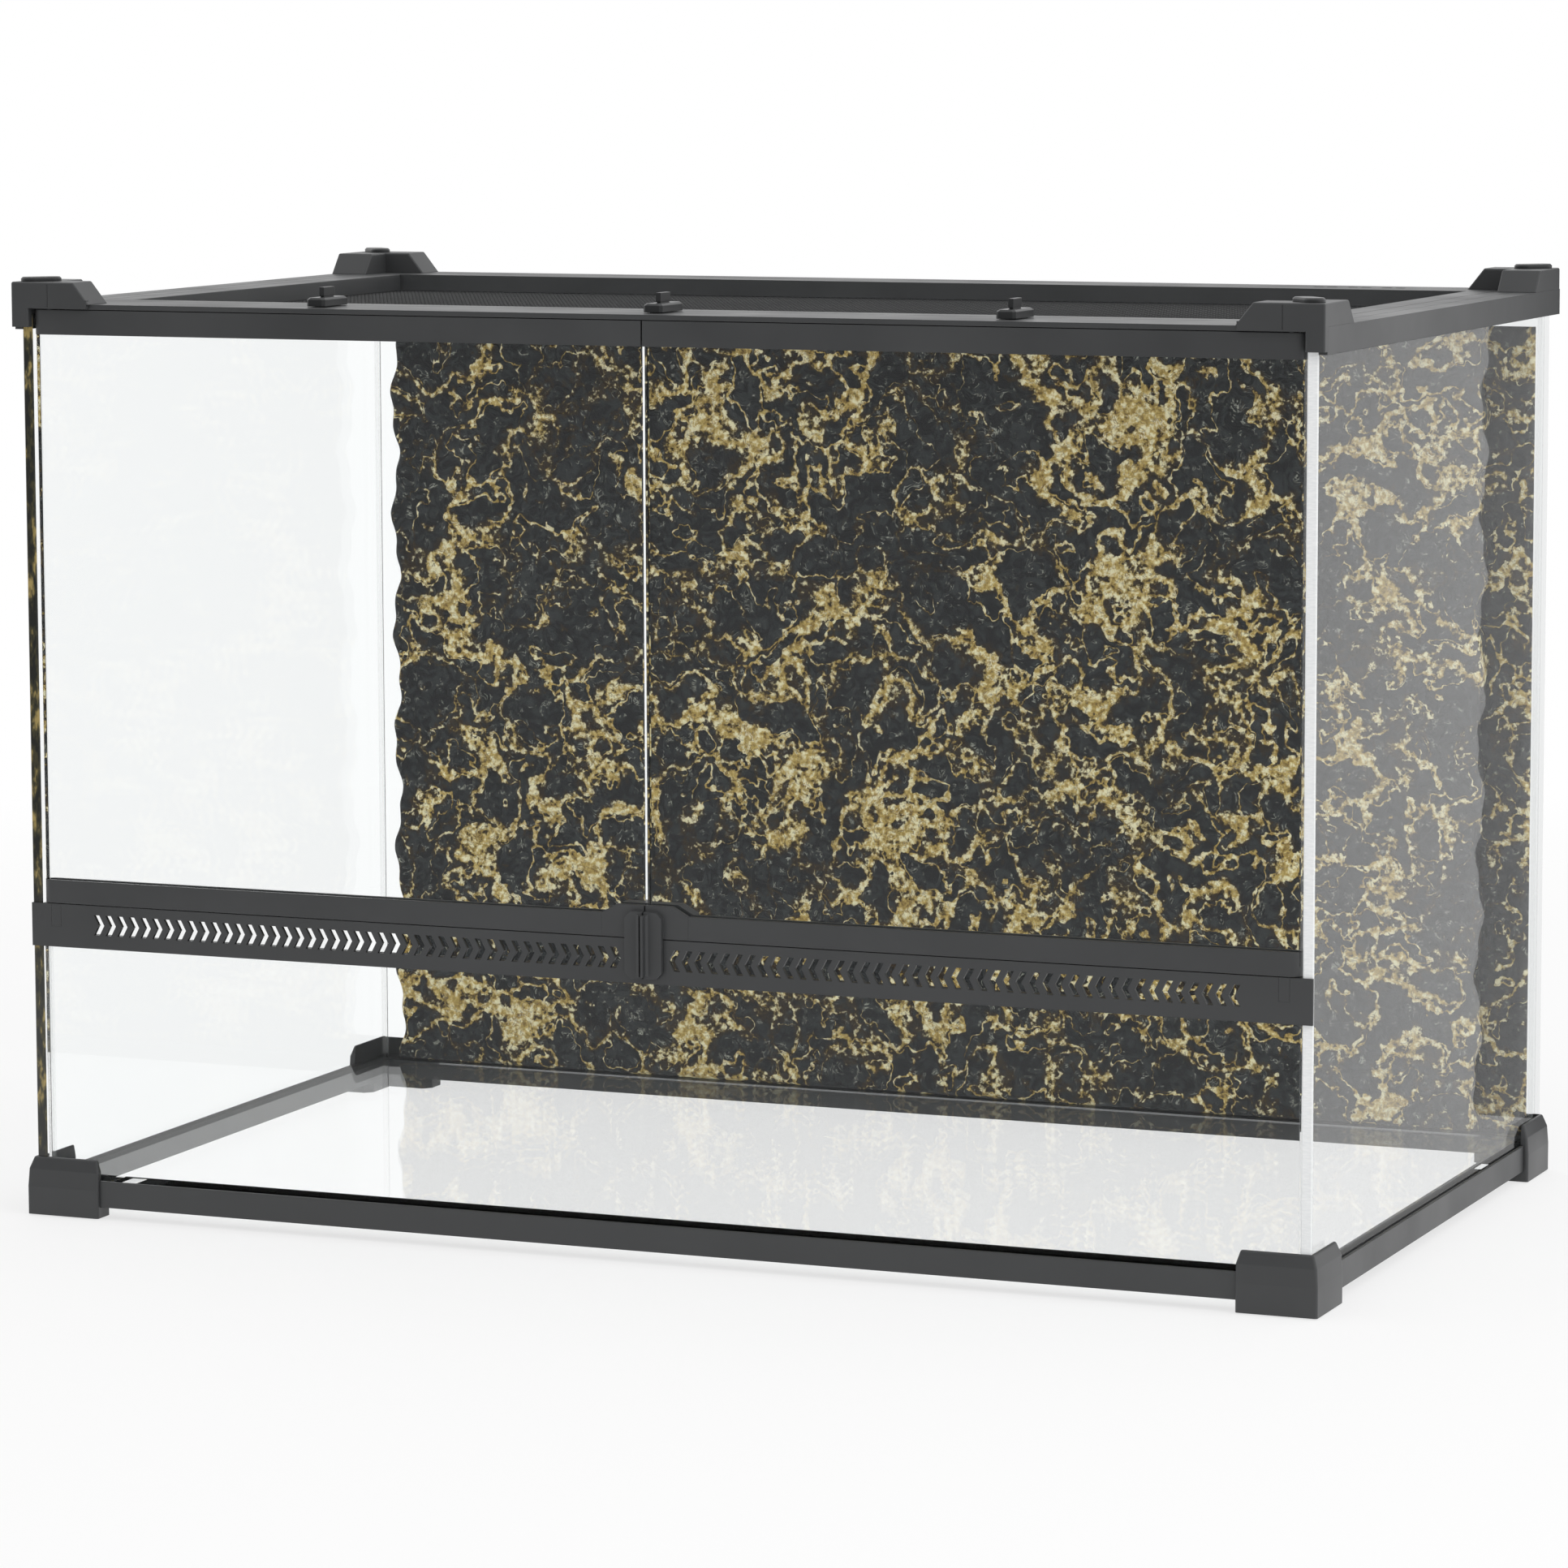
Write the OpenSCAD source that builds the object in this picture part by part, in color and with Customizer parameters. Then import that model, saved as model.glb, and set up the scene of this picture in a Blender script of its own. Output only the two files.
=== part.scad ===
// Glass reptile terrarium, front opening, with a raised base frame, a chevron vent strip,
// two swing doors, a lift-off screen lid held by turn clips, and a rock background board.
// Millimetres. X runs along the width, the front faces -Y, and Z is up from the feet.

/* [Tank] */
// Width over the two side glasses
glass_w = 494; // [420:2:600]
// Depth from the side glasses' front edges to the back glass's outer face
glass_d = 287; // [240:1:380]
// Height of the top frame's upper face above the feet's undersides
frame_top = 337; // [300:1:460]
// Thickness of every glass pane
glass_t = 4; // [3.5:0.5:5]
// Silicone joint between neighbouring panes
pane_joint = 0.3; // [0.2:0.1:0.8]
// Leg of the silicone beads in the inner corners
bead_leg = 2; // [1:0.5:3]

/* [Base frame] */
// Height of the base rails
base_rail_h = 9.8; // [9:0.2:12]
// Width of a base rail across its floor ledge
base_rail_w = 9.8; // [9.4:0.1:12]
// How far the base rails stand out from the glass
base_proud = 1.2; // [1:0.1:1.6]
// Depth of the groove that the panes stand in
groove_depth = 5.9; // [4:0.1:6.5]
// Height of the floor ledge above the rails' undersides
ledge_rise = 7.2; // [6.8:0.2:9]
// Wall of the moulded rails
rail_wall = 1.8; // [1.4:0.1:2.4]

/* [Feet] */
// Height of a foot
foot_h = 21.5; // [18:0.5:26]
// Thickness of a foot's sole under the rails
sole_t = 4.1; // [3:0.1:6]
// Width of a foot's sole in from its outer face
sole_w = 11.6; // [9:0.2:14]
// Corner cut at the inner ends of a foot's sole
sole_cut = 3; // [1:0.5:4]
// How far the feet and the top frame stand out from the glass
corner_proud = 3; // [2.4:0.1:4]
// Length of a foot's arms along the front and back
foot_arm_x = 29.5; // [24:0.5:40]
// Length of a foot's arms along the sides
foot_arm_y = 29.5; // [24:0.5:40]
// Height where a foot's outer faces begin to lean in
lean_z = 10.4; // [8:0.2:14]
// How far a foot's outer faces lean in at the top
lean_in = 1.7; // [0.5:0.1:1.8]
// Height of the crown, where the outer faces lean in more
crown_h = 4.5; // [2:0.5:8]
// How far the arms' ends lean in at the top
end_lean = 1; // [0.2:0.2:2]

/* [Vent strip] */
// Height of the strip's lower edge
strip_z = 100.6; // [80:0.2:120]
// Height of the strip
strip_h = 16; // [15:0.2:20]
// How far the strip, the doors' bars and the front rail stand out from the glass
strip_proud = 1; // [0.8:0.1:1.4]
// Gap in front of the lower front pane and the door panes
pane_set = 0.5; // [0.3:0.1:0.8]
// Height of the channel that holds the lower pane
channel_h = 4.4; // [3.6:0.2:5]
// Plain wall between the last slot and the pivot clip's pocket
slot_end_wall = 12; // [6:0.5:20]
// Distance from one slot to the next
slot_pitch = 4.83; // [4:0.01:4.9]
// First slot's tip from the middle
slot_start = 9.2; // [8.4:0.2:14]
// Height of a slot
slot_h = 7.5; // [6:0.1:8]
// Width of a slot
slot_w = 2.3; // [1.6:0.1:2.6]
// How far a slot's tip leans towards the middle
slot_tip = 2; // [1:0.1:2.6]
// Middle of the slots below the strip's upper edge
slot_drop = 7.2; // [6:0.1:8]

/* [Doors] */
// Height of a door's lower bar
lower_bar_h = 8.5; // [8:0.1:11]
// Height of a door's upper bar
upper_bar_h = 9; // [8:0.1:11]
// Thickness of the bars, front to back
bar_t = 7; // [6.6:0.2:9]
// Solid web of a bar beyond the pane's edge
bar_web = 3; // [2.4:0.1:4]
// Gap between a door and what is above, below and beside it
door_gap = 0.3; // [0.2:0.05:0.6]
// Gap between a bar's outer end and the side glass
end_gap = 0.6; // [0.4:0.1:1]
// Door pane's edge in from the bars' inner ends
pane_inset = 0.1; // [0.1:0.05:0.3]
// Pivot axis from the tank's outer side face
pivot_in = 10.2; // [9.6:0.1:12]
// Radius of the pivot pins
pin_r = 1; // [0.8:0.1:1.2]
// Radial clearance of the pivot pins and the clip shafts
pin_play = 0.06; // [0.03:0.01:0.09]
// Length of pin below a door
lower_pin_len = 7; // [5:0.5:7]
// Width of a pivot clip
pivot_clip_w = 3.9; // [3.6:0.1:5]
// Height of a pivot clip
pivot_clip_h = 8.3; // [7.8:0.1:10]

/* [Door pulls] */
// Width of the two pull plates together
pull_w = 14.3; // [12:0.1:15.6]
// Height of the pull plates
pull_h = 24; // [20:0.5:26]
// Thickness of the pull plates
pull_t = 1.9; // [1.4:0.1:2.6]
// How far the grip fins stand out from the plates
fin_h = 3; // [1.5:0.1:5]
// Width of each grip fin
fin_w = 1; // [0.8:0.1:1.6]
// Splay of a fin's foot
fin_splay = 0.8; // [0.4:0.1:1.2]
// Plate left plain above and below a fin
fin_end = 1; // [0.5:0.1:2]
// Corner cut of the pull plates
plate_cut = 2.2; // [1:0.1:3]
// Upper edge of the pull plates below the block's
plate_drop = 2.2; // [1:0.1:4]
// Gap between the pull plates and the vent strip's face
plate_gap = 0.3; // [0.2:0.05:0.6]
// Half width of the block behind the pulls
block_half = 16.7; // [14:0.1:20]
// Height of the block above the lower bars
block_rise = 3.3; // [2:0.1:5]
// Depth of the block, front to back
block_t = 11; // [9:0.5:12]
// Length of the block's sloped ends
block_slope = 6; // [3:0.5:7]

/* [Top frame] */
// Height of the top rails
top_rail_h = 9.4; // [9:0.2:12]
// Width of the side and back rails
side_rail_w = 17.4; // [16.6:0.2:20]
// Width of the front rail
front_rail_w = 29; // [27:0.2:31]
// Thickness of the rails' upper faces
top_web = 1.8; // [1.4:0.1:2]
// Upper edge of the side and back glass below the rails' upper faces
top_seat = 3.5; // [3:0.1:4.5]
// Width of the ledge that the lid rests on
lid_ledge = 8; // [6:0.5:9]
// How far the front stop ends short of the pivots
stop_short = 9.4; // [9:0.1:14]
// Step line on a side rail from its outer face
step_line = 8.9; // [7:0.1:11]
// Depth and width of the step line
line_cut = 0.5; // [0.3:0.1:0.7]
// Cable inlets in the back rail
inlets = 3; // [1:1:4]
// Middle of the cable inlets from the tank's middle
inlet_x = 175; // [100:1:180]
// Distance from one inlet to the next
inlet_pitch = 13.5; // [12:0.5:16]
// Length of one slot of an inlet
inlet_len = 4; // [3:0.1:5]
// Width of one slot of an inlet
inlet_w = 2.6; // [2:0.1:3]

/* [Top caps] */
// Height of a cap above the rails
cap_h = 8; // [6:0.2:11]
// Width of a cap's arms
cap_w = 15; // [14:0.2:16]
// Length of a cap's front or back arm at its foot
cap_arm_x = 31.8; // [29:0.2:38]
// Length of a cap's side arm at its foot
cap_arm_y = 33.5; // [29:0.5:40]
// Run of a cap arm's sloped end
cap_slope = 6; // [3:0.2:8]
// Length of a front cap's leg below the rail's upper face
leg_drop = 8.4; // [7:0.2:9.4]
// Length of a stacking plug
plug_len = 15; // [13:0.5:18]
// Width of a stacking plug
plug_w = 7.8; // [6.6:0.2:9]
// Height of a stacking plug
plug_h = 1.6; // [1:0.2:3]
// Bevel round a plug's upper edge
plug_bevel = 0.6; // [0.2:0.1:0.8]
// Stacking plug's middle inwards from the middle of the arms
plug_shift = 0.7; // [0.2:0.1:2]

/* [Screen lid] */
// Width of a lid bar
lid_bar_w = 10.4; // [9:0.2:13]
// Depth of the screen below the frame's upper face
screen_depth = 6.4; // [5.8:0.1:6.8]
// Thickness of the screen
screen_t = 0.6; // [0.4:0.1:0.8]
// Gap between the lid and the rails around it
lid_gap = 0.4; // [0.3:0.1:0.8]
// Gap under the lid's edge
lid_rest = 0.15; // [0.1:0.05:0.3]
// Gaps of the screen along the width
screen_cols = 24; // [12:1:24]
// Gaps of the screen along the depth
screen_rows = 12; // [6:1:12]
// Width of a screen wire
wire_w = 0.8; // [0.6:0.1:1.2]

/* [Turn clips] */
// Distance from one clip to the next
clip_pitch = 132; // [110:1:140]
// Length of a clip
clip_len = 19.6; // [18.6:0.2:21]
// Clip's axis from the end of its tail, which stops short of the lid
clip_tail = 8.2; // [7.6:0.1:8.8]
// Width of a clip
clip_w = 7.2; // [6:0.2:8]
// Height of a clip's blade
clip_t = 3.1; // [2.5:0.1:4]
// Bevel round a blade's upper edge
clip_bevel = 0.7; // [0.3:0.1:1]
// Corner cut of a clip's blade
clip_cut = 1; // [0.6:0.1:2]
// Length of the finger grip along a clip
grip_len = 8.6; // [7:0.2:10]
// Thickness of the finger grip
grip_t = 1.8; // [1.4:0.1:2.6]
// Height of the finger grip
grip_h = 3.6; // [2.6:0.2:5]
// Height and depth of the undercut at the grip's foot
grip_neck = 0.4; // [0.2:0.1:0.5]
// Radius of a clip's shaft
shaft_r = 1.5; // [1.2:0.1:1.6]
// Radius of the snap head under the rail
snap_r = 2.2; // [2:0.1:2.3]
// Height of the snap head
snap_h = 1.4; // [1:0.1:2]
// Gap between a clip and the rail
clip_gap = 0.3; // [0.2:0.05:0.5]

/* [Background] */
// Thickness of the rock board
board_t = 9; // [6:0.5:16]
// Gap from the board's left edge to the side glass
board_gap_left = 11.5; // [6:0.5:24]
// Gap from the board's right edge to the side glass
board_gap_right = 21; // [6:0.5:24]
// Height of the board's upper edge below the frame's upper face
board_drop = 14; // [12:0.5:30]
// Thickness of the backing sheet behind the board
backing_t = 1.2; // [0.8:0.1:2]
// Swing of the board's wavy edges
wave = 1.5; // [0.5:0.1:2]
// Height of one wave
wave_len = 46; // [30:1:70]
// Height of a ripple on the waves
ripple_len = 17; // [10:1:25]
// Cut at the board's upper corners
board_cut = 4; // [2:0.5:6]

/* [Hidden] */

// Colours of the mouldings, the glass and the board
plastic = "#4a4a4a";
dark_plastic = "#3c3c3c";
glass = [0.85, 0.93, 0.92, 0.35];
clear = [0.9, 0.92, 0.92, 0.5];
steel = "#b8bcc0";
rock = "#34373a";

// A cut runs this far past the face that it opens
over = 1;
// Thickness of the thin slices that a tapered form is drawn round
slice = 0.01;
// Segments of the small rounded edges
soft_fn = 16;

// The pulls stand out furthest at the front and the corners at the back
pull_front = strip_proud + pull_t + fin_h;
front_y = -(glass_d + corner_proud - pull_front) / 2;

// Heights
rail_z = sole_t;
rail_top = rail_z + base_rail_h;
pane_z = rail_top - groove_depth;
floor_z = rail_z + ledge_rise;
floor_top = floor_z + glass_t;
strip_top = strip_z + strip_h;
slot_z = strip_top - slot_drop;
channel_top = strip_z + channel_h;
door_z = strip_top + door_gap;
lip_z = frame_top - top_web;
door_top = lip_z - door_gap;
pane_low = door_z + bar_web;
pane_high = door_top - bar_web;
top_rail_z = frame_top - top_rail_h;
pane_top = frame_top - top_seat;
screen_top = frame_top - screen_depth;
screen_z = screen_top - screen_t;
ledge_top = screen_z - lid_rest;
cap_top = frame_top + cap_h;

// Places across the width and the depth, from the middle and from the glass's front edges
half_w = glass_w / 2;
inner_x = half_w - glass_t;
pane_x = inner_x - pane_joint;
pane_y = pane_set;
pane_back = pane_set + glass_t;
back_in = glass_d - glass_t;
pivot_x = half_w - pivot_in;
pivot_y = pane_set + glass_t / 2;
bar_y = -strip_proud;
bar_back = bar_y + bar_t;
bar_end = inner_x - end_gap;
split = door_gap;
slot_end_x = pivot_x - pivot_clip_w / 2 - slot_end_wall;
slots_per_side = floor((slot_end_x - slot_tip - slot_w - slot_start) / slot_pitch) + 1;
side_in = half_w + corner_proud - side_rail_w;
back_rail_y = glass_d + corner_proud - side_rail_w;
front_rail_y = front_rail_w - strip_proud;
lid_x = side_in - lid_gap;
clip_y = front_rail_y - clip_tail;
lid_y0 = front_rail_y + lid_gap;
lid_y1 = back_rail_y - lid_gap;
board_y = back_in - backing_t - board_t;
board_x0 = -(inner_x - board_gap_left);
board_x1 = inner_x - board_gap_right;
board_top = frame_top - board_drop;

// Moves a piece from the glass's front edges to the part's own origin
module place() translate([0, front_y, 0]) children();

// Draws a piece that is made on the right, on the left too or instead
module on_side(side) {
    if (side > 0) children();
    else mirror([1, 0, 0]) children();
}

// Puts a corner piece at one of the tank's outer corners: its own +X and +Y run inwards
module at_corner(side, at_back) {
    on_side(side)
        translate([half_w, at_back ? glass_d : 0, 0])
            mirror([1, 0, 0])
                if (at_back) mirror([0, 1, 0]) children();
                else children();
}

// Carries a profile in Y and Z along X, from x0 to x1
module along_x(x0, x1) {
    translate([x0, 0, 0])
        rotate([90, 0, 90])
            linear_extrude(x1 - x0) children();
}

// Carries a profile in X and Z along Y, from y0 to y1
module along_y(y0, y1) {
    translate([0, y1, 0])
        rotate([90, 0, 0])
            linear_extrude(y1 - y0) children();
}

module box(low, high) translate(low) cube(high - low);

// Block with rounded uprights and upper edges, flat at the bottom.
// Each level is [z, x0, x1, y0, y1]; the last one carries the rounded upper edge.
module soft_block(levels, r) {
    last = len(levels) - 1;
    hull()
        for (i = [0:last], x = [levels[i][1] + r, levels[i][2] - r],
             y = [levels[i][3] + r, levels[i][4] - r])
            translate([x, y, levels[i][0]])
                if (i == last) translate([0, 0, -r]) sphere(r, $fn = soft_fn);
                else cylinder(r = r, h = slice, $fn = soft_fn);
}

// ---- Base frame ----

// Section of a base rail. A pane stands in the groove from 0 to seat, and the floor lies
// on the ledge; outward is negative. The underside is hollowed between the two walls.
module base_rail_profile(seat) {
    inner = base_rail_w - base_proud;
    polygon([[-base_proud, rail_z], [-base_proud, rail_top], [0, rail_top], [0, pane_z],
        [seat, pane_z], [seat, floor_z], [inner, floor_z], [inner, rail_z],
        [inner - rail_wall, rail_z], [inner - rail_wall, pane_z - rail_wall],
        [rail_wall - base_proud, pane_z - rail_wall], [rail_wall - base_proud, rail_z]]);
}

// Plan of a rail with mitred ends, along X and centred
module mitred_plan(half_len, width) {
    linear_extrude(rail_top + over)
        polygon([[-half_len, -base_proud], [half_len, -base_proud],
            [half_len - width, width - base_proud], [width - half_len, width - base_proud]]);
}

module base_rail_x(at_back) {
    color(plastic) place()
        translate([0, at_back ? glass_d : 0, 0]) mirror([0, at_back ? 1 : 0, 0])
            intersection() {
                along_x(-half_w - base_proud, half_w + base_proud)
                    base_rail_profile(at_back ? glass_t : pane_back);
                mitred_plan(half_w + base_proud, base_rail_w);
            }
}

module base_rail_y(side) {
    half_d = glass_d / 2;
    color(plastic) place()
        translate([side * half_w, half_d, 0]) rotate([0, 0, side * 90])
            intersection() {
                along_x(-half_d - base_proud, half_d + base_proud) base_rail_profile(glass_t);
                mitred_plan(half_d + base_proud, base_rail_w);
            }
}

// L-shaped corner foot: a sole under the rails and a skin round them that leans in at the
// top, more so in its crown
module foot(side, at_back) {
    r = 1;
    low = -corner_proud;
    top_out = low + lean_in;
    crown_out = low + lean_in / 4;
    crown_z = foot_h - crown_h;
    sole_in = low + sole_w;
    end_x = low + foot_arm_x;
    end_y = low + foot_arm_y;
    color(plastic) place() at_corner(side, at_back)
        difference() {
            union() {
                soft_block([[0, low, end_x, low, sole_in], [lean_z, low, end_x, low, sole_in],
                    [crown_z, crown_out, end_x, crown_out, sole_in],
                    [foot_h, top_out, end_x - end_lean, top_out, sole_in]], r);
                soft_block([[0, low, sole_in, low, end_y], [lean_z, low, sole_in, low, end_y],
                    [crown_z, crown_out, sole_in, crown_out, end_y],
                    [foot_h, top_out, sole_in, top_out, end_y - end_lean]], r);
            }
            // cut corners at the inner ends of the sole
            for (end = [[end_x, sole_in], [sole_in, end_y]])
                translate([end[0], end[1], -over])
                    linear_extrude(rail_z + 2 * over)
                        polygon([[-sole_cut, over], [-sole_cut, 0], [0, -sole_cut],
                            [over, -sole_cut], [over, over]]);
            box([-base_proud, -base_proud, rail_z], [foot_arm_x, foot_arm_y, rail_top]);
            box([0, 0, rail_z], [foot_arm_x, foot_arm_y, foot_h + over]);
        }
}

// ---- Glass ----

module floor_glass() {
    color(glass) place()
        box([-pane_x, pane_back + pane_joint, floor_z],
            [pane_x, back_in - pane_joint, floor_top]);
}

module side_glass(side) {
    color(glass) place() on_side(side)
        box([inner_x, 0, pane_z], [half_w, glass_d, pane_top]);
}

module back_glass() {
    color(glass) place()
        box([-pane_x, back_in, pane_z], [pane_x, glass_d, pane_top]);
}

module front_lower_glass() {
    color(glass) place()
        box([-pane_x, pane_y, pane_z], [pane_x, pane_back, channel_top - rail_wall]);
}

// Triangular beads of silicone in the tank's inner corners
module silicone_beads() {
    module leg() polygon([[0, 0], [bead_leg, 0], [0, bead_leg]]);
    back_bead_top = top_rail_z - over;
    front_bead_top = strip_z - over;
    color(clear) place() {
        for (side = [-1, 1]) on_side(side) {
            translate([inner_x, back_in, floor_top])
                rotate([0, 0, 180]) linear_extrude(back_bead_top - floor_top) leg();
            translate([inner_x, pane_back, floor_top])
                rotate([0, 0, 90]) linear_extrude(front_bead_top - floor_top) leg();
        }
    }
}

// ---- Vent strip ----

// One slot with its tip pointing along +X from the origin
module chevron() {
    polygon([[0, 0], [-slot_tip, slot_h / 2], [-slot_tip - slot_w, slot_h / 2], [-slot_w, 0],
        [-slot_tip - slot_w, -slot_h / 2], [-slot_tip, -slot_h / 2]]);
}

// Front wall of the strip with both rows of slots and the pockets of the pivot clips
module vent_wall(half_len, thick) {
    translate([0, thick - strip_proud, 0]) rotate([90, 0, 0]) linear_extrude(thick)
        difference() {
            translate([-half_len, strip_z]) square([2 * half_len, strip_h]);
            for (i = [0:slots_per_side - 1], turn = [0, 1])
                mirror([turn, 0])
                    translate([-slot_start - i * slot_pitch, slot_z]) chevron();
            for (side = [-1, 1])
                translate([side * pivot_x - pivot_clip_w / 2 - pin_play, strip_top - pivot_clip_h])
                    square([pivot_clip_w + 2 * pin_play, pivot_clip_h + over]);
        }
}

module vent_strip() {
    wall = strip_proud + pane_set;
    back = pane_back + rail_wall;
    color(plastic) place()
        difference() {
            union() {
                vent_wall(pane_x, wall);
                vent_wall(half_w, strip_proud);
                // channel over the lower pane, and the sill under the doors
                along_x(-pane_x, pane_x)
                    polygon([[pane_set, channel_top - rail_wall], [pane_back, channel_top - rail_wall],
                        [pane_back, strip_z], [back, strip_z], [back, channel_top],
                        [pane_set, channel_top]]);
                along_x(-pane_x, pane_x)
                    polygon([[pane_set, strip_top - rail_wall], [back, strip_top - rail_wall],
                        [back, strip_top], [pane_set, strip_top]]);
            }
            for (side = [-1, 1]) on_side(side)
                box([pivot_x - pivot_clip_w / 2 - pin_play, 0, strip_top - pivot_clip_h],
                    [pivot_x + pivot_clip_w / 2 + pin_play, back + over, strip_top + over]);
        }
}

// Insert with the bore that a door's lower pin turns in
module pivot_clip(side) {
    color(dark_plastic) place() on_side(side)
        difference() {
            box([pivot_x - pivot_clip_w / 2, -strip_proud, strip_top - pivot_clip_h],
                [pivot_x + pivot_clip_w / 2, pane_back + rail_wall, strip_top]);
            translate([pivot_x, pivot_y, strip_top - lower_pin_len])
                cylinder(r = pin_r + pin_play, h = lower_pin_len + over, $fn = 48);
        }
}

// ---- Top frame ----

// Section of the front rail: a lip over the doors, a stop behind them and the lid's ledge
module front_rail_profile() {
    deep = front_rail_y;
    polygon([[-strip_proud, frame_top], [deep, frame_top], [deep, ledge_top],
        [deep + lid_ledge, ledge_top], [deep + lid_ledge, top_rail_z],
        [deep - rail_wall, top_rail_z], [deep - rail_wall, lip_z], [-strip_proud, lip_z]]);
}

module top_rail_front() {
    stop_y = bar_back + door_gap;
    // the stop ends short of the doors' outer ends, which swing in behind the pivots
    stop_x = pivot_x - stop_short;
    color(plastic) place()
        difference() {
            union() {
                along_x(-inner_x, inner_x) front_rail_profile();
                box([-stop_x, stop_y, top_rail_z], [stop_x, stop_y + rail_wall, lip_z]);
            }
            for (side = [-1, 1])
                translate([side * pivot_x, pivot_y, lip_z - over])
                    cylinder(r = pin_r + pin_play, h = top_web + 2 * over, $fn = 48);
            for (i = [-1:1])
                translate([i * clip_pitch, clip_y, lip_z - over])
                    cylinder(r = shaft_r + pin_play, h = top_web + 2 * over, $fn = 48);
            // the ledge ends at the side rails
            for (side = [-1, 1]) on_side(side)
                box([side_in, front_rail_y, top_rail_z - over],
                    [half_w, front_rail_y + lid_ledge + over, frame_top + over]);
        }
}

// Outer part of a side or back rail, over the pane's edge. Outward is negative.
module over_pane_profile() {
    polygon([[-corner_proud, top_rail_z], [-corner_proud, frame_top], [glass_t, frame_top],
        [glass_t, pane_top], [0, pane_top], [0, top_rail_z]]);
}

// Inner part of a side or back rail: upper web, inner wall and the lid's ledge
module over_tank_profile() {
    inner = side_rail_w - corner_proud;
    polygon([[glass_t, frame_top], [inner, frame_top], [inner, ledge_top],
        [inner + lid_ledge, ledge_top], [inner + lid_ledge, top_rail_z],
        [inner - rail_wall, top_rail_z], [inner - rail_wall, lip_z], [glass_t + rail_wall, lip_z],
        [glass_t + rail_wall, top_rail_z], [glass_t, top_rail_z]]);
}

// Fine step line along a rail's upper face
module step_groove() {
    from = step_line - corner_proud;
    polygon([[from, frame_top + over], [from, frame_top - line_cut],
        [from + line_cut, frame_top], [from + line_cut, frame_top + over]]);
}

module top_rail_side(side) {
    // plan of the rail: mitred at the back, with the front rail's ledge left free
    reach = side_rail_w + lid_ledge;
    inner = side_rail_w - corner_proud;
    ledge_y = front_rail_y + lid_ledge;
    color(plastic) place() on_side(side)
        translate([half_w, 0, 0]) mirror([1, 0, 0])
            intersection() {
                difference() {
                    union() {
                        along_y(0, glass_d + corner_proud) over_pane_profile();
                        along_y(front_rail_y, glass_d + corner_proud) over_tank_profile();
                    }
                    along_y(front_rail_y, glass_d + corner_proud) step_groove();
                }
                linear_extrude(frame_top + over)
                    polygon([[-corner_proud, 0], [-corner_proud, glass_d + corner_proud],
                        [reach - corner_proud, glass_d + corner_proud - reach],
                        [reach - corner_proud, ledge_y], [inner, ledge_y], [inner, 0]]);
            }
}

module top_rail_back() {
    reach = side_rail_w + lid_ledge;
    long = half_w + corner_proud;
    edge = glass_d + corner_proud;
    slot_mid = (inlet_len + inlet_w / 2) / 2;
    color(plastic) place()
        difference() {
            intersection() {
                translate([0, glass_d, 0]) mirror([0, 1, 0]) along_x(-long, long)
                    difference() {
                        union() {
                            over_pane_profile();
                            over_tank_profile();
                        }
                        step_groove();
                    }
                linear_extrude(frame_top + over)
                    polygon([[-long, edge], [long, edge], [long - reach, edge - reach],
                        [reach - long, edge - reach]]);
            }
            // pairs of short slots that leads are passed down through
            for (i = [0:inlets - 1], s = [-1, 1])
                translate([inlet_x + (i - (inlets - 1) / 2) * inlet_pitch + s * slot_mid,
                    (back_rail_y + rail_wall + back_in - rail_wall) / 2, lip_z - over])
                    translate([-inlet_len / 2, -inlet_w / 2, 0])
                        cube([inlet_len, inlet_w, top_web + 2 * over]);
        }
}

// L-shaped raised cap over a corner of the top frame. The front ones have a leg that
// covers the side glass's front edge beside the door's bar.
module top_cap(side, at_back) {
    r = 0.8;
    low = -corner_proud;
    wide = low + cap_w;
    end_x = low + cap_arm_x;
    end_y = low + cap_arm_y;
    skirt = at_back ? low : -strip_proud;
    color(plastic) place() at_corner(side, at_back)
        difference() {
            union() {
                soft_block([[frame_top, low, end_x, low, wide],
                    [cap_top, low, end_x - cap_slope, low, wide]], r);
                soft_block([[frame_top, low, wide, low, end_y],
                    [cap_top, low, wide, low, end_y - cap_slope]], r);
                if (!at_back) {
                    box([low + r, low, lip_z + door_gap], [end_x - r, skirt, frame_top + 2 * r]);
                    soft_leg(low, frame_top - leg_drop, r);
                }
            }
            // crease where the two arms meet, on the outer face
            translate([wide, low, frame_top - over])
                rotate([0, 0, 45])
                    translate([-line_cut / 2, -line_cut / 2, 0])
                        cube([line_cut, line_cut, cap_h - r + over]);
        }
}

// Leg of a front cap, in front of the side glass's edge
module soft_leg(low, z, r) {
    hull()
        for (x = [low + r, glass_t - r], top = [z, frame_top + r])
            translate([x, low + r, top]) cylinder(r = r, h = r, $fn = soft_fn);
    box([low, low + r, z], [glass_t, 0, frame_top]);
}

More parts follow.
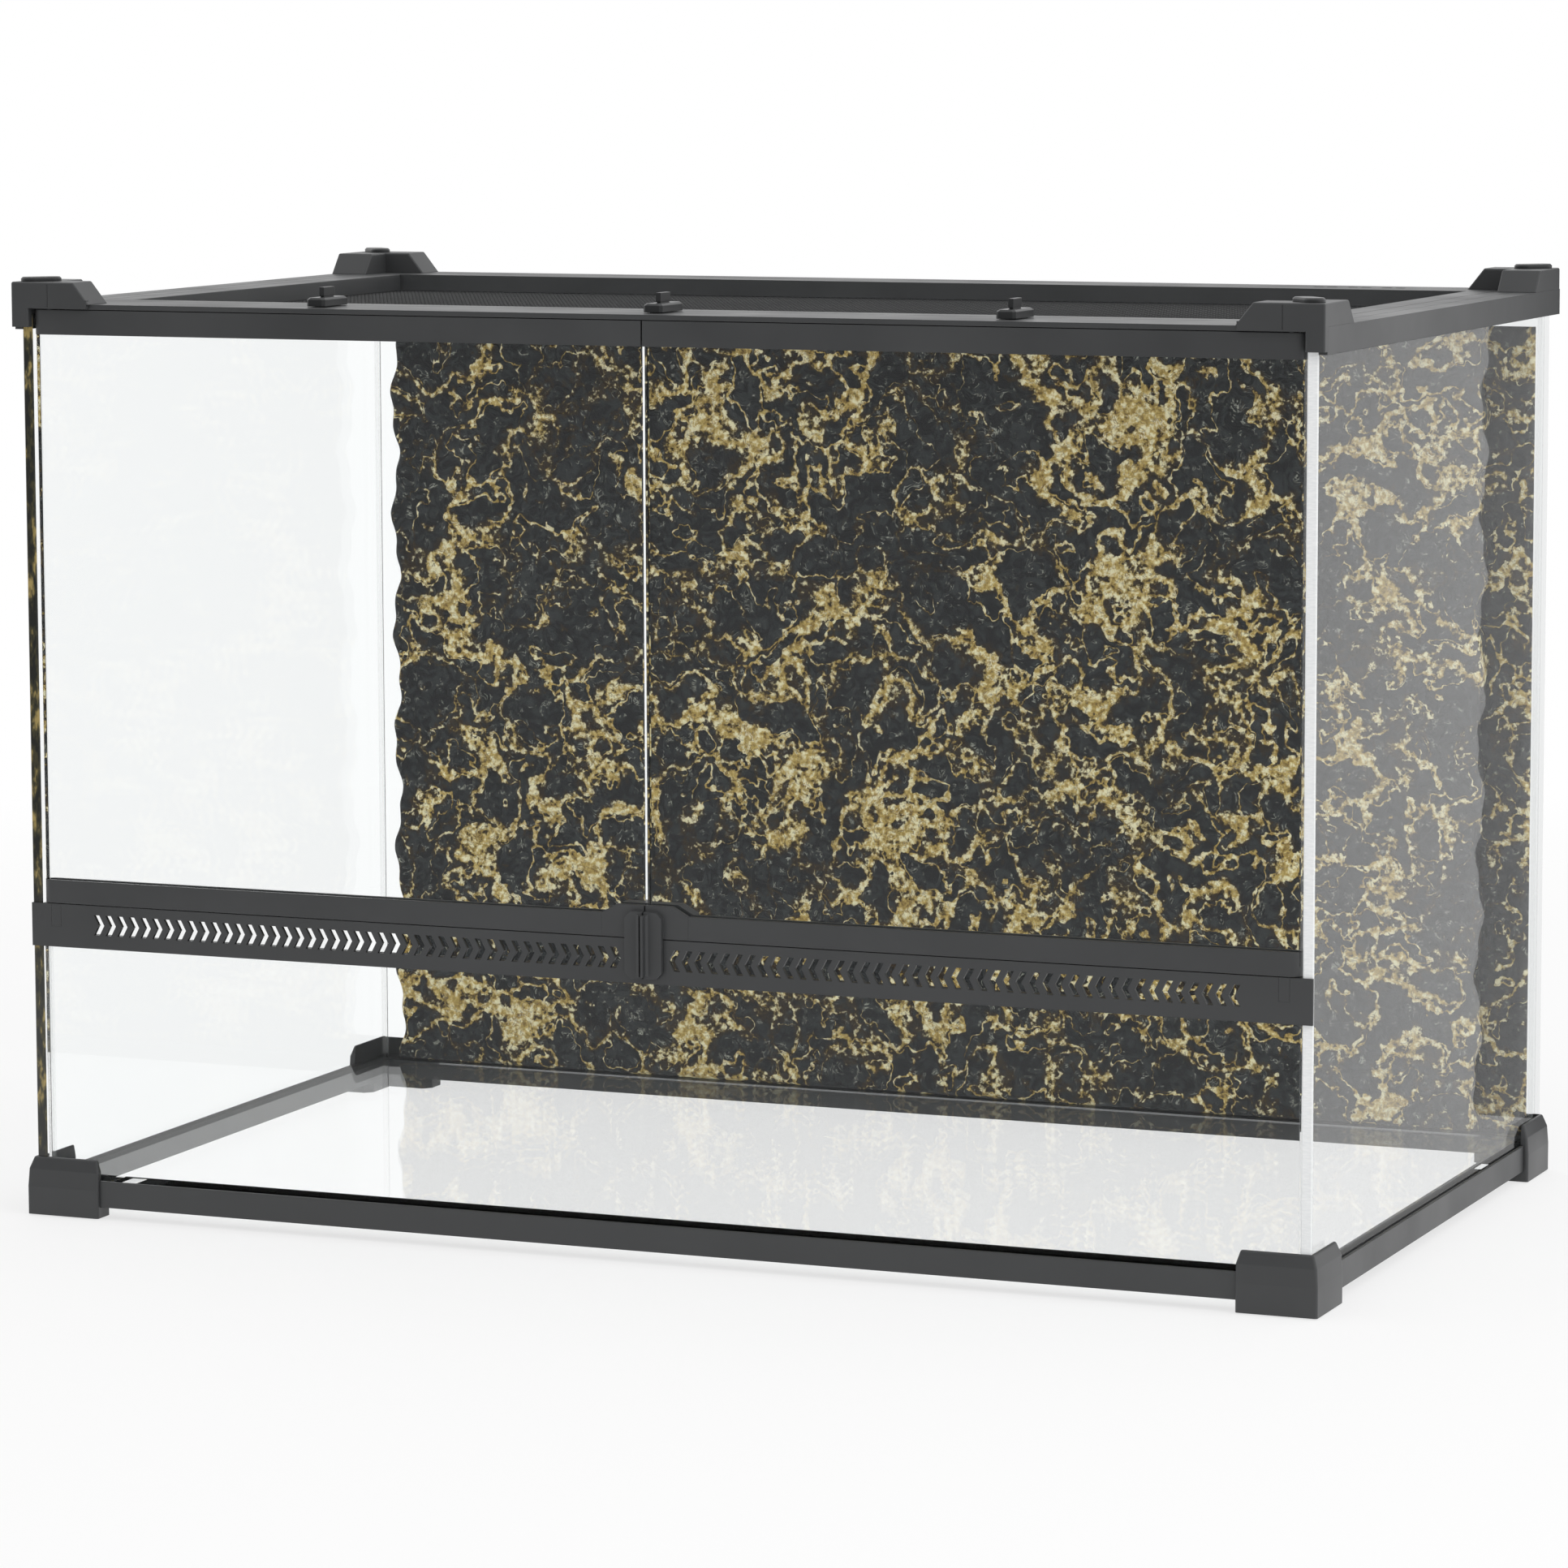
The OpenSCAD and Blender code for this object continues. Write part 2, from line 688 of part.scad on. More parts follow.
// Low pad on a cap that a second tank's foot can sit against, set on the corner's diagonal
module cap_plug(side, at_back) {
    mid = -corner_proud + cap_w / 2 + plug_shift;
    run = (plug_len - plug_w) / 2;
    half = plug_w / 2;
    rim = plug_h - plug_bevel;
    color(dark_plastic) place() at_corner(side, at_back)
        translate([mid, mid, cap_top]) rotate([0, 0, 45]) {
            for (x = [-run, run]) translate([x, 0, 0]) {
                cylinder(r = half, h = rim, $fn = 48);
                translate([0, 0, rim])
                    cylinder(r1 = half, r2 = half - plug_bevel, h = plug_bevel, $fn = 48);
            }
            along_x(-run, run)
                polygon([[-half, 0], [half, 0], [half, rim], [half - plug_bevel, plug_h],
                    [plug_bevel - half, plug_h], [-half, rim]]);
        }
}

// ---- Background ----

// Sideways shift of the board's edges at height z, as the sum of a wave and a ripple
function edge_wave(z, turn) =
    wave * sin(360 * z / wave_len + turn) + wave / 2 * sin(360 * z / ripple_len + 3 * turn);

module background_board() {
    step = wave_len / 12;
    right_turn = 20;
    left_turn = 200;
    count = floor((board_top - floor_top - board_cut) / step);
    heights = [for (i = [0:count]) floor_top + i * step];
    right_edge = [for (z = heights) [board_x1 + edge_wave(z, right_turn), z]];
    left_edge = [for (i = [count:-1:0]) [board_x0 + edge_wave(heights[i], left_turn), heights[i]]];
    color(rock) place()
        translate([0, board_y + board_t, 0]) rotate([90, 0, 0]) linear_extrude(board_t)
            polygon(concat(right_edge, [[board_x1 - board_cut, board_top],
                [board_x0 + board_cut, board_top]], left_edge));
}

// Thin sheet behind the board, pushed up against the right side glass
module background_backing() {
    color(rock) place()
        box([board_x0 + 3 * wave, board_y + board_t, floor_top],
            [pane_x - pane_joint - bead_leg, board_y + board_t + backing_t, board_top]);
}

// ---- Screen lid ----

// Section of a lid bar: an inverted channel, 0 at its outer side
module lid_bar_profile() {
    polygon([[0, screen_top], [0, frame_top], [lid_bar_w, frame_top], [lid_bar_w, screen_top],
        [lid_bar_w - rail_wall, screen_top], [lid_bar_w - rail_wall, lip_z],
        [rail_wall, lip_z], [rail_wall, screen_top]]);
}

module lid_bar_x(at_back) {
    color(plastic) place()
        translate([0, at_back ? lid_y1 : lid_y0, 0]) mirror([0, at_back ? 1 : 0, 0])
            intersection() {
                along_x(-lid_x, lid_x) lid_bar_profile();
                linear_extrude(frame_top + over)
                    polygon([[-lid_x, 0], [lid_x, 0], [lid_x - lid_bar_w, lid_bar_w],
                        [lid_bar_w - lid_x, lid_bar_w]]);
            }
}

module lid_bar_y(side) {
    half_len = (lid_y1 - lid_y0) / 2;
    color(plastic) place()
        translate([side * lid_x, (lid_y0 + lid_y1) / 2, 0]) rotate([0, 0, side * 90])
            intersection() {
                along_x(-half_len, half_len) lid_bar_profile();
                linear_extrude(frame_top + over)
                    polygon([[-half_len, 0], [half_len, 0], [half_len - lid_bar_w, lid_bar_w],
                        [lid_bar_w - half_len, lid_bar_w]]);
            }
}

// Flat woven screen under the bars, drawn as a coarse net with a solid hem
module lid_screen() {
    hem = lid_bar_w;
    clear_w = 2 * (lid_x - hem);
    clear_d = lid_y1 - lid_y0 - 2 * hem;
    step_x = (clear_w + wire_w) / screen_cols;
    step_y = (clear_d + wire_w) / screen_rows;
    color(dark_plastic) place()
        translate([0, 0, screen_z]) linear_extrude(screen_t)
            difference() {
                translate([-lid_x, lid_y0]) square([2 * lid_x, lid_y1 - lid_y0]);
                for (i = [0:screen_cols - 1], j = [0:screen_rows - 1])
                    translate([i * step_x - clear_w / 2, lid_y0 + hem + j * step_y])
                        square([step_x - wire_w, step_y - wire_w]);
            }
}

// Plan of a clip's blade round its shaft. Its nose points to the front, and reaches over
// the lid's bar when it is turned to the back.
module blade_slice(z, inset) {
    x = clip_w / 2 - inset;
    nose = clip_tail - clip_len + inset;
    tail = clip_tail - inset;
    cut = clip_cut;
    translate([0, 0, z]) linear_extrude(slice)
        polygon([[-x, nose + cut], [cut - x, nose], [x - cut, nose], [x, nose + cut],
            [x, tail - cut], [x - cut, tail], [cut - x, tail], [-x, tail - cut]]);
}

// Turn clip: a bevelled blade with an upright finger grip, on a shaft that snaps through
// the rail
module clip(index) {
    mid = clip_tail - clip_len / 2;
    foot_w = grip_t / 2 - grip_neck / 2;
    foot_len = grip_len / 2 - grip_neck;
    color(dark_plastic) place()
        translate([index * clip_pitch, clip_y, frame_top + clip_gap]) {
            hull() {
                blade_slice(0, 0);
                blade_slice(clip_t - clip_bevel, 0);
                blade_slice(clip_t - slice, clip_bevel);
            }
            box([-foot_w, mid - foot_len, clip_t - clip_bevel],
                [foot_w, mid + foot_len, clip_t + 2 * grip_neck]);
            box([-grip_t / 2, mid - grip_len / 2, clip_t + grip_neck],
                [grip_t / 2, mid + grip_len / 2, clip_t + grip_h]);
            translate([0, 0, -top_web - 2 * clip_gap])
                cylinder(r = shaft_r, h = top_web + 2 * clip_gap, $fn = 48);
            translate([0, 0, -top_web - 2 * clip_gap - snap_h])
                cylinder(r1 = shaft_r, r2 = snap_r, h = snap_h, $fn = 48);
        }
}

// ---- Doors ----

module door_glass(side) {
    color(glass) place() on_side(side)
        box([split + pane_inset, pane_y, pane_low], [bar_end - end_gap, pane_back, pane_high]);
}

// Bar with a full-round outer end, from x0 to its end beside the side glass
module door_bar(x0, z0, z1) {
    r = bar_t / 2;
    box([x0, bar_y, z0], [bar_end - r, bar_back, z1]);
    translate([bar_end - r, bar_y + r, z0]) cylinder(r = r, h = z1 - z0, $fn = 48);
}

module pin_hole(z0, z1) {
    translate([pivot_x, pivot_y, z0]) cylinder(r = pin_r, h = z1 - z0, $fn = 48);
}

module door_upper_bar(side) {
    z0 = door_top - upper_bar_h;
    color(plastic) place() on_side(side)
        difference() {
            door_bar(split, z0, door_top);
            box([split - over, pane_y, z0 - over], [bar_end - end_gap, pane_back, pane_high]);
            pin_hole(pane_high - over, door_top + over);
        }
}

module door_lower_bar(side) {
    z1 = door_z + lower_bar_h;
    color(plastic) place() on_side(side)
        difference() {
            door_bar(block_half, door_z, z1);
            box([block_half - over, pane_y, pane_low], [bar_end - end_gap, pane_back, z1 + over]);
            pin_hole(door_z - over, pane_low + over);
        }
}

// Half of the pull: the block that grips the pane's corner, the plate that hangs in front
// of the vent strip, and the grip fin beside the split
module door_pull(side) {
    top = door_z + lower_bar_h + block_rise;
    plate_top = top - plate_drop;
    plate_z = plate_top - pull_h;
    plate_x = pull_w / 2;
    plate_y = -strip_proud - pull_t;
    cut = plate_cut;
    color(plastic) place() on_side(side)
        difference() {
            union() {
                // block with a sloped end
                translate([0, block_t - strip_proud, 0]) rotate([90, 0, 0]) linear_extrude(block_t)
                    polygon([[split, door_z], [block_half, door_z],
                        [block_half, door_z + lower_bar_h], [block_half - block_slope, top],
                        [split, top]]);
                // plate with chamfered outer corners
                translate([0, -strip_proud, 0]) rotate([90, 0, 0]) linear_extrude(pull_t)
                    polygon([[split, plate_z], [plate_x - cut, plate_z], [plate_x, plate_z + cut],
                        [plate_x, plate_top - cut], [plate_x - cut, plate_top],
                        [split, plate_top]]);
                // fin, splayed at its foot
                translate([0, 0, plate_z + fin_end]) linear_extrude(pull_h - 2 * fin_end)
                    polygon([[split, plate_y - fin_h], [split + fin_w, plate_y - fin_h],
                        [split + fin_w, plate_y - fin_splay],
                        [split + fin_w + fin_splay, plate_y], [split, plate_y]]);
            }
            box([split - over, pane_y, pane_low], [block_half + over, pane_back, top + over]);
            // the plate hangs clear of the strip's face
            box([split - over, -strip_proud - plate_gap, plate_z - over],
                [plate_x + over, over, door_z]);
        }
}

// Upper and lower pivot pins of one door
module door_pins(side) {
    color(steel) place() on_side(side) {
        translate([pivot_x, pivot_y, door_z - lower_pin_len + door_gap])
            cylinder(r = pin_r, h = lower_pin_len + bar_web - door_gap, $fn = 48);
        translate([pivot_x, pivot_y, pane_high])
            cylinder(r = pin_r, h = frame_top - pane_high, $fn = 48);
    }
}

base_rail_x(false);  // base_rail_front
base_rail_x(true);  // base_rail_back
base_rail_y(-1);  // base_rail_left
base_rail_y(1);  // base_rail_right
foot(-1, false);  // foot_front_left
foot(1, false);  // foot_front_right
foot(-1, true);  // foot_back_left
foot(1, true);  // foot_back_right
floor_glass();
side_glass(-1);  // side_glass_left
side_glass(1);  // side_glass_right
back_glass();
front_lower_glass();
silicone_beads();
vent_strip();
pivot_clip(-1);  // pivot_clip_left
pivot_clip(1);  // pivot_clip_right
top_rail_front();
top_rail_back();
top_rail_side(-1);  // top_rail_left
top_rail_side(1);  // top_rail_right
top_cap(-1, false);  // top_cap_front_left
top_cap(1, false);  // top_cap_front_right
top_cap(-1, true);  // top_cap_back_left
top_cap(1, true);  // top_cap_back_right
cap_plug(-1, false);  // cap_plug_front_left
cap_plug(1, false);  // cap_plug_front_right
cap_plug(-1, true);  // cap_plug_back_left
cap_plug(1, true);  // cap_plug_back_right
background_board();
background_backing();
lid_bar_x(false);  // lid_bar_front
lid_bar_x(true);  // lid_bar_back
lid_bar_y(-1);  // lid_bar_left
lid_bar_y(1);  // lid_bar_right
lid_screen();
clip(-1);  // clip_left
clip(0);  // clip_middle
clip(1);  // clip_right
door_glass(-1);  // door_glass_left
door_upper_bar(-1);  // door_upper_bar_left
door_lower_bar(-1);  // door_lower_bar_left
door_pull(-1);  // door_pull_left
door_pins(-1);  // door_pins_left
door_glass(1);  // door_glass_right
door_upper_bar(1);  // door_upper_bar_right
door_lower_bar(1);  // door_lower_bar_right
door_pull(1);  // door_pull_right
door_pins(1);  // door_pins_right
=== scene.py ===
import math

import bpy
import numpy as np
from mathutils import Matrix, Vector


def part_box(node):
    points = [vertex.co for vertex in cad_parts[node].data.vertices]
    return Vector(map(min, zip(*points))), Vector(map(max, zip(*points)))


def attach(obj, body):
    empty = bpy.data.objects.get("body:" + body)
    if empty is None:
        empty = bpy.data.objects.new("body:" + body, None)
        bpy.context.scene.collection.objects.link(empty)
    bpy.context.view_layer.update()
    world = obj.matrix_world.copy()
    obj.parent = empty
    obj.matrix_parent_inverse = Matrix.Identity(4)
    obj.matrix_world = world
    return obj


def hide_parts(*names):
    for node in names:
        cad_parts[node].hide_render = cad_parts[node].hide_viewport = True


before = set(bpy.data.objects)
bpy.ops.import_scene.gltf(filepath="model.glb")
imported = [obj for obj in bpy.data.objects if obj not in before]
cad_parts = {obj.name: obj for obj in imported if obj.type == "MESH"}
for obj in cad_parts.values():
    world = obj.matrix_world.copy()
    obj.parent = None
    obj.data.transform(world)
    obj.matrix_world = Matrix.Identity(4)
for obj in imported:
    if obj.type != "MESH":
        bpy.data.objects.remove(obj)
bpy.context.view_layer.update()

bl_info = {
    "name": "Reptile terrarium dressing",
    "version": (1, 0, 0),
    "blender": (4, 5, 0),
    "location": "View3D > Sidebar > Terrarium",
    "description": "Glass, mouldings, woven screen and rock board for the terrarium's solids",
    "category": "Object",
}

MM = 0.001
SIDES = ("left", "right")
ENDS = ("front", "back")

# The Mix node's sockets, which share their names: colours A, B and result, numbers A and B
COLOUR_A, COLOUR_B, COLOUR_OUT = 6, 7, 2
NUMBER_A, NUMBER_B = 2, 3

# The solids that keep their shape, by what they are moulded from
ABS_NODES = (
    [f"base_rail_{side}" for side in ENDS + SIDES]
    + [f"top_rail_{side}" for side in ENDS + SIDES]
    + [f"foot_{end}_{side}" for end in ENDS for side in SIDES]
    + [f"top_cap_{end}_{side}" for end in ENDS for side in SIDES]
    + ["vent_strip", "pivot_clip_left", "pivot_clip_right"]
    + [f"door_{part}_{side}" for part in ("upper_bar", "lower_bar", "pull") for side in SIDES]
    + [f"lid_bar_{side}" for side in ENDS + SIDES]
)
NYLON_NODES = (
    ["clip_left", "clip_middle", "clip_right"]
    + [f"cap_plug_{end}_{side}" for end in ENDS for side in SIDES]
)


# ---- Colours and nodes ----


def linear(code):
    """An sRGB hex colour as linear red, green, blue and an alpha of 1."""
    parts = [int(code[i : i + 2], 16) / 255 for i in (1, 3, 5)]
    return tuple(
        c / 12.92 if c <= 0.04045 else ((c + 0.055) / 1.055) ** 2.4 for c in parts
    ) + (1.0,)


def add(tree, kind, settings=(), links=()):
    """Adds a node. settings gives its properties, its input values and, for a colour ramp,
    its stops as (place, linear colour). links gives its inputs' sources: a node, whose first
    output is taken, or a node with an output."""
    node = tree.nodes.new("ShaderNode" + kind)
    for name, value in dict(settings).items():
        if name == "stops":
            marks = node.color_ramp.elements
            while len(marks) < len(value):
                marks.new(1.0)
            for mark, (place, colour) in zip(marks, value):
                mark.position, mark.color = place, colour
        elif isinstance(name, str) and hasattr(node, name):
            setattr(node, name, value)
        else:
            node.inputs[name].default_value = value
    for name, source in dict(links).items():
        origin, output = source if isinstance(source, tuple) else (source, 0)
        tree.links.new(origin.outputs[output], node.inputs[name])
    return node


def new_material(name):
    """An empty node material, its tree and its source of Object coordinates."""
    material = bpy.data.materials.new(name)
    material.use_nodes = True
    tree = material.node_tree
    tree.nodes.clear()
    return material, tree, (add(tree, "TexCoord"), "Object")


# ---- Materials ----


def moulded_plastic(name, dark, pale, rough, grain, lift):
    """Injection-moulded ABS or nylon: dark with cloudy flow marks towards pale, whose
    roughness changes a little with them, under an eroded grain of the given pitch and lift.
    The Bevel node breaks the edges as a mould's polished corners do, so they catch a thin
    highlight. With other colours and grains it also serves for foam, powder coat and felt."""
    flow_pitch, edge_radius = 38 * MM, 0.45 * MM
    material, tree, place = new_material(name)
    flow = add(tree, "TexNoise", {"Scale": 1 / flow_pitch, "Detail": 4.0}, {"Vector": place})
    texture = add(tree, "TexNoise", {"Scale": 1 / grain, "Detail": 2.0}, {"Vector": place})
    tint = add(tree, "ValToRGB", {"stops": ((0.3, dark), (0.75, pale))}, {"Fac": flow})
    soft = add(
        tree,
        "MapRange",
        {"From Min": 0.3, "From Max": 0.7, "To Min": rough - 0.06, "To Max": rough + 0.07},
        {"Value": flow},
    )
    edges = add(tree, "Bevel", {"samples": 4, "Radius": edge_radius})
    relief = add(
        tree,
        "Bump",
        {"Strength": 0.5, "Distance": lift},
        {"Height": texture, "Normal": edges},
    )
    shader = add(
        tree,
        "BsdfPrincipled",
        {"IOR": 1.5, "Specular IOR Level": 0.4},
        {"Base Color": tint, "Roughness": soft, "Normal": relief},
    )
    add(tree, "OutputMaterial", links={"Surface": shader})
    return material


def float_glass(name, tint, ior):
    """Clear low-iron float glass, fire polished, with seamed and polished edges. Plain glass
    has an IOR of 1.52; the object's panes mirror much less at a slant, as coated ones do,
    and the IOR is matched to that. Lamps and the soft light of the room pass through, so
    what stands behind is lit."""
    drift_pitch = 90 * MM
    material, tree, place = new_material(name)
    drift = add(tree, "TexNoise", {"Scale": 1 / drift_pitch, "Detail": 1.0}, {"Vector": place})
    relief = add(
        tree, "Bump", {"Strength": 0.1, "Distance": 0.004 * MM}, {"Height": drift}
    )
    shader = add(
        tree,
        "BsdfPrincipled",
        {"Base Color": tint, "Roughness": 0.0, "IOR": ior, "Transmission Weight": 1.0},
        {"Normal": relief},
    )
    path = add(tree, "LightPath")
    through = add(tree, "BsdfTransparent", {"Color": linear("#FDFEFE")})
    lamps = add(
        tree,
        "Math",
        {"operation": "MAXIMUM"},
        {0: (path, "Is Shadow Ray"), 1: (path, "Is Diffuse Ray")},
    )
    mixed = add(tree, "MixShader", links={0: lamps, 1: shader, 2: through})
    add(tree, "OutputMaterial", links={"Surface": mixed})
    return material


def ground_edge():
    """Seamed pane edge: belt-ground, with fine scratches across it, so it scatters white
    light and shows as a pale line."""
    scratch_pitch = 0.5 * MM
    material, tree, place = new_material("seamed_glass_edge")
    drawn = add(tree, "Mapping", {"Scale": (0.2, 0.2, 1.0)}, {"Vector": place})
    scratch = add(
        tree, "TexNoise", {"Scale": 1 / scratch_pitch, "Detail": 3.0}, {"Vector": drawn}
    )
    stops = ((0.3, linear("#ECEEEF")), (0.7, linear("#F8F9F9")))
    tint = add(tree, "ValToRGB", {"stops": stops}, {"Fac": scratch})
    soft = add(tree, "MapRange", {"To Min": 0.3, "To Max": 0.5}, {"Value": scratch})
    relief = add(
        tree, "Bump", {"Strength": 0.3, "Distance": 0.05 * MM}, {"Height": scratch}
    )
    shader = add(
        tree,
        "BsdfPrincipled",
        {"IOR": 1.5},
        {"Base Color": tint, "Roughness": soft, "Normal": relief},
    )
    add(tree, "OutputMaterial", links={"Surface": shader})
    return material


def polished_edge_painted_reflection():
    """Polished pane edge with a painted reflection: its colour stands for the dark board that total
    reflection inside the pane shows at its far end, near black with gold specks, drawn out upwards."""
    fleck_pitch = 3 * MM
    material, tree, place = new_material("polished_glass_edge_painted_reflection")
    drawn = add(tree, "Mapping", {"Scale": (1.0, 1.0, 0.35)}, {"Vector": place})
    reflected_specks = add(
        tree,
        "TexNoise",
        {"Scale": 1 / fleck_pitch, "Detail": 3.0, "Roughness": 0.6},
        {"Vector": drawn},
    )
    # painted reflection of the board: near-black rock with gold specks
    stops = ((0.45, linear("#262724")), (0.56, linear("#45422F")), (0.68, linear("#A38F58")))
    tint = add(tree, "ValToRGB", {"stops": stops}, {"Fac": reflected_specks})
    soft = add(tree, "MapRange", {"To Min": 0.08, "To Max": 0.2}, {"Value": reflected_specks})
    relief = add(
        tree, "Bump", {"Strength": 0.2, "Distance": 0.02 * MM}, {"Height": reflected_specks}
    )
    shader = add(
        tree,
        "BsdfPrincipled",
        {"IOR": 1.5},
        {"Base Color": tint, "Roughness": soft, "Normal": relief},
    )
    add(tree, "OutputMaterial", links={"Surface": shader})
    return material


def neutral_silicone():
    """Clear neutral-cure silicone, tooled by hand: a soft milky gloss, thin enough to look
    through, with faint tool marks."""
    mark_pitch = 6 * MM
    material, tree, place = new_material("neutral_silicone")
    drawn = add(tree, "Mapping", {"Scale": (1.0, 1.0, 0.3)}, {"Vector": place})
    marks = add(tree, "TexNoise", {"Scale": 1 / mark_pitch, "Detail": 2.0}, {"Vector": drawn})
    stops = ((0.3, linear("#EEF1F1")), (0.7, linear("#FAFCFC")))
    tint = add(tree, "ValToRGB", {"stops": stops}, {"Fac": marks})
    soft = add(tree, "MapRange", {"To Min": 0.25, "To Max": 0.4}, {"Value": marks})
    relief = add(tree, "Bump", {"Strength": 0.4, "Distance": 0.2 * MM}, {"Height": marks})
    shader = add(
        tree,
        "BsdfPrincipled",
        {"IOR": 1.41, "Alpha": 0.08},
        {"Base Color": tint, "Roughness": soft, "Normal": relief},
    )
    add(tree, "OutputMaterial", links={"Surface": shader})
    return material


def gilded_rock(look):
    """Moulded foam rock board, sprayed black and dry-brushed with gold. The gold lies where
    two bent noises cross their middle value, as a net of veins in cells of 10 to 20 mm, and
    in the patches of a slow noise. Crumbs of 2 mm break its rim, a brown halo of thin
    paint surrounds it, and curled wrinkles cross the whole board. Light and shade are painted
    into the colour: highlights on the wrinkles' crests and shade in their cracks, and on the
    gold, shade in the crumbs' pits and highlights on their peaks."""
    patch_pitch, crumb_pitch = 30 * MM, 2.4 * MM
    curl_pitch, spot_pitch = 6.5 * MM, 3.4 * MM
    material, tree, place = new_material("gilded_rock_board")
    flat = place
    # slow bends, then quick frays: pitch, detail and reach
    for pitch, detail, reach in ((24 * MM, 3.0, 30 * MM), (4 * MM, 2.0, 4.6 * MM)):
        bend = add(tree, "TexNoise", {"Scale": 1 / pitch, "Detail": detail}, {"Vector": flat})
        centred = add(
            tree,
            "VectorMath",
            {"operation": "SUBTRACT", 1: (0.5, 0.5, 0.5)},
            {0: (bend, "Color")},
        )
        moved = add(
            tree,
            "VectorMath",
            {"operation": "MULTIPLY_ADD", 1: (reach,) * 3},
            {0: centred, 2: place},
        )
        place = (moved, "Vector")

    # the net of veins, from a coarse and a fine noise: pitch and half width in the noise
    black, white = linear("#000000"), linear("#FFFFFF")
    veins = []
    for pitch, half in ((look.cell, 0.115), (look.cell / 2, 0.085)):
        level = add(tree, "TexNoise", {"Scale": 1 / pitch, "Detail": 1.0}, {"Vector": place})
        stops = ((0.5 - half, black), (0.5, white), (0.5 + half, black))
        veins.append(add(tree, "ValToRGB", {"stops": stops}, {"Fac": level}))
    net = add(tree, "Math", {"operation": "MAXIMUM"}, {0: veins[0], 1: veins[1]})
    slow = add(tree, "TexNoise", {"Scale": 1 / patch_pitch, "Detail": 2.0}, {"Vector": place})
    patches = add(
        tree,
        "MapRange",
        {"From Min": 0.3, "From Max": 0.7, "To Min": -0.46, "To Max": 0.15},
        {"Value": slow},
    )
    crumb = add(
        tree,
        "TexNoise",
        {"Scale": 1 / crumb_pitch, "Detail": 4.0, "Roughness": 0.6},
        {"Vector": flat},
    )
    ragged = add(
        tree,
        "MapRange",
        {"From Min": 0.25, "From Max": 0.75, "To Min": -0.32, "To Max": 0.32},
        {"Value": crumb},
    )
    height = add(tree, "Math", {"operation": "ADD"}, {0: net, 1: patches})
    height = add(tree, "Math", {"operation": "ADD"}, {0: height, 1: ragged})
    gilt = add(tree, "MapRange", {"From Min": 0.6, "From Max": 0.74}, {"Value": height})
    halo = add(tree, "MapRange", {"From Min": 0.3, "From Max": 0.58}, {"Value": height})

    # wrinkles over rock and gold alike: painted highlights on their crests in spots, and painted
    # shade in the cracks beside them
    curl = add(
        tree,
        "TexNoise",
        {"Scale": 1 / curl_pitch, "Detail": 3.0, "Roughness": 0.6, "Distortion": 2.2},
        {"Vector": flat},
    )
    crest, crack_shade = (
        add(
            tree,
            "ValToRGB",
            {"stops": ((middle - 0.03, black), (middle, white), (middle + 0.03, black))},
            {"Fac": curl},
        )
        for middle in (0.5, 0.455)
    )
    spots = add(tree, "TexNoise", {"Scale": 1 / spot_pitch, "Detail": 2.0}, {"Vector": flat})
    some = add(tree, "MapRange", {"From Min": 0.54, "From Max": 0.68}, {"Value": spots})
    # the crests in spots take a painted highlight, and the cracks take painted shade, less of it on
    # the gold
    lit = add(tree, "Math", {"operation": "MULTIPLY"}, {0: crest, 1: some})
    gold_crack_shade = add(tree, "Math", {"operation": "MULTIPLY", 1: 0.75}, {0: crack_shade})

    stops = ((0.34, linear("#17191A")), (0.5, look.rock), (0.64, linear("#383B3C")))
    rock = add(tree, "ValToRGB", {"stops": stops}, {"Fac": curl})
    # the gold's tone over the crumbs: painted shade in their pits, brown that is the gold's wear
    # with painted shade, and bright cream on their peaks as a painted highlight
    stops = ((0.28, linear("#4E3A1A")), (0.38, look.brown), (0.5, look.gold), (0.62, look.bright))
    gold = add(tree, "ValToRGB", {"stops": stops}, {"Fac": crumb})
    ground, leaf = (rock, 0), (gold, 0)
    # the rock takes painted shade in the cracks, painted highlights on the crests, and the brown
    # halo of thin paint
    for share, code in ((crack_shade, "#161819"), (lit, "#B4B6A8"), (halo, "#382B18")):
        shade = {"data_type": "RGBA", COLOUR_B: linear(code)}
        mixed = add(tree, "Mix", shade, {"Factor": share, COLOUR_A: ground})
        ground = (mixed, COLOUR_OUT)
    # the gold takes painted shade in the cracks and painted highlights on the crests
    for share, code in ((gold_crack_shade, "#5C421C"), (lit, "#FFF8DC")):
        shade = {"data_type": "RGBA", COLOUR_B: linear(code)}
        mixed = add(tree, "Mix", shade, {"Factor": share, COLOUR_A: leaf})
        leaf = (mixed, COLOUR_OUT)
    tint = add(
        tree,
        "Mix",
        {"data_type": "RGBA"},
        {"Factor": gilt, COLOUR_A: ground, COLOUR_B: leaf},
    )
    soft = add(tree, "MapRange", {"To Min": 0.6, "To Max": 0.38}, {"Value": gilt})
    raised = add(
        tree, "Math", {"operation": "MULTIPLY_ADD", 1: 0.35}, {0: gilt, 2: curl}
    )
    relief = add(
        tree, "Bump", {"Strength": 1.0, "Distance": 1.6 * MM}, {"Height": raised}
    )
    shader = add(
        tree,
        "BsdfPrincipled",
        {"IOR": 1.45},
        {"Base Color": (tint, COLOUR_OUT), "Roughness": soft, "Normal": relief},
    )
    add(tree, "OutputMaterial", links={"Surface": shader})
    return material


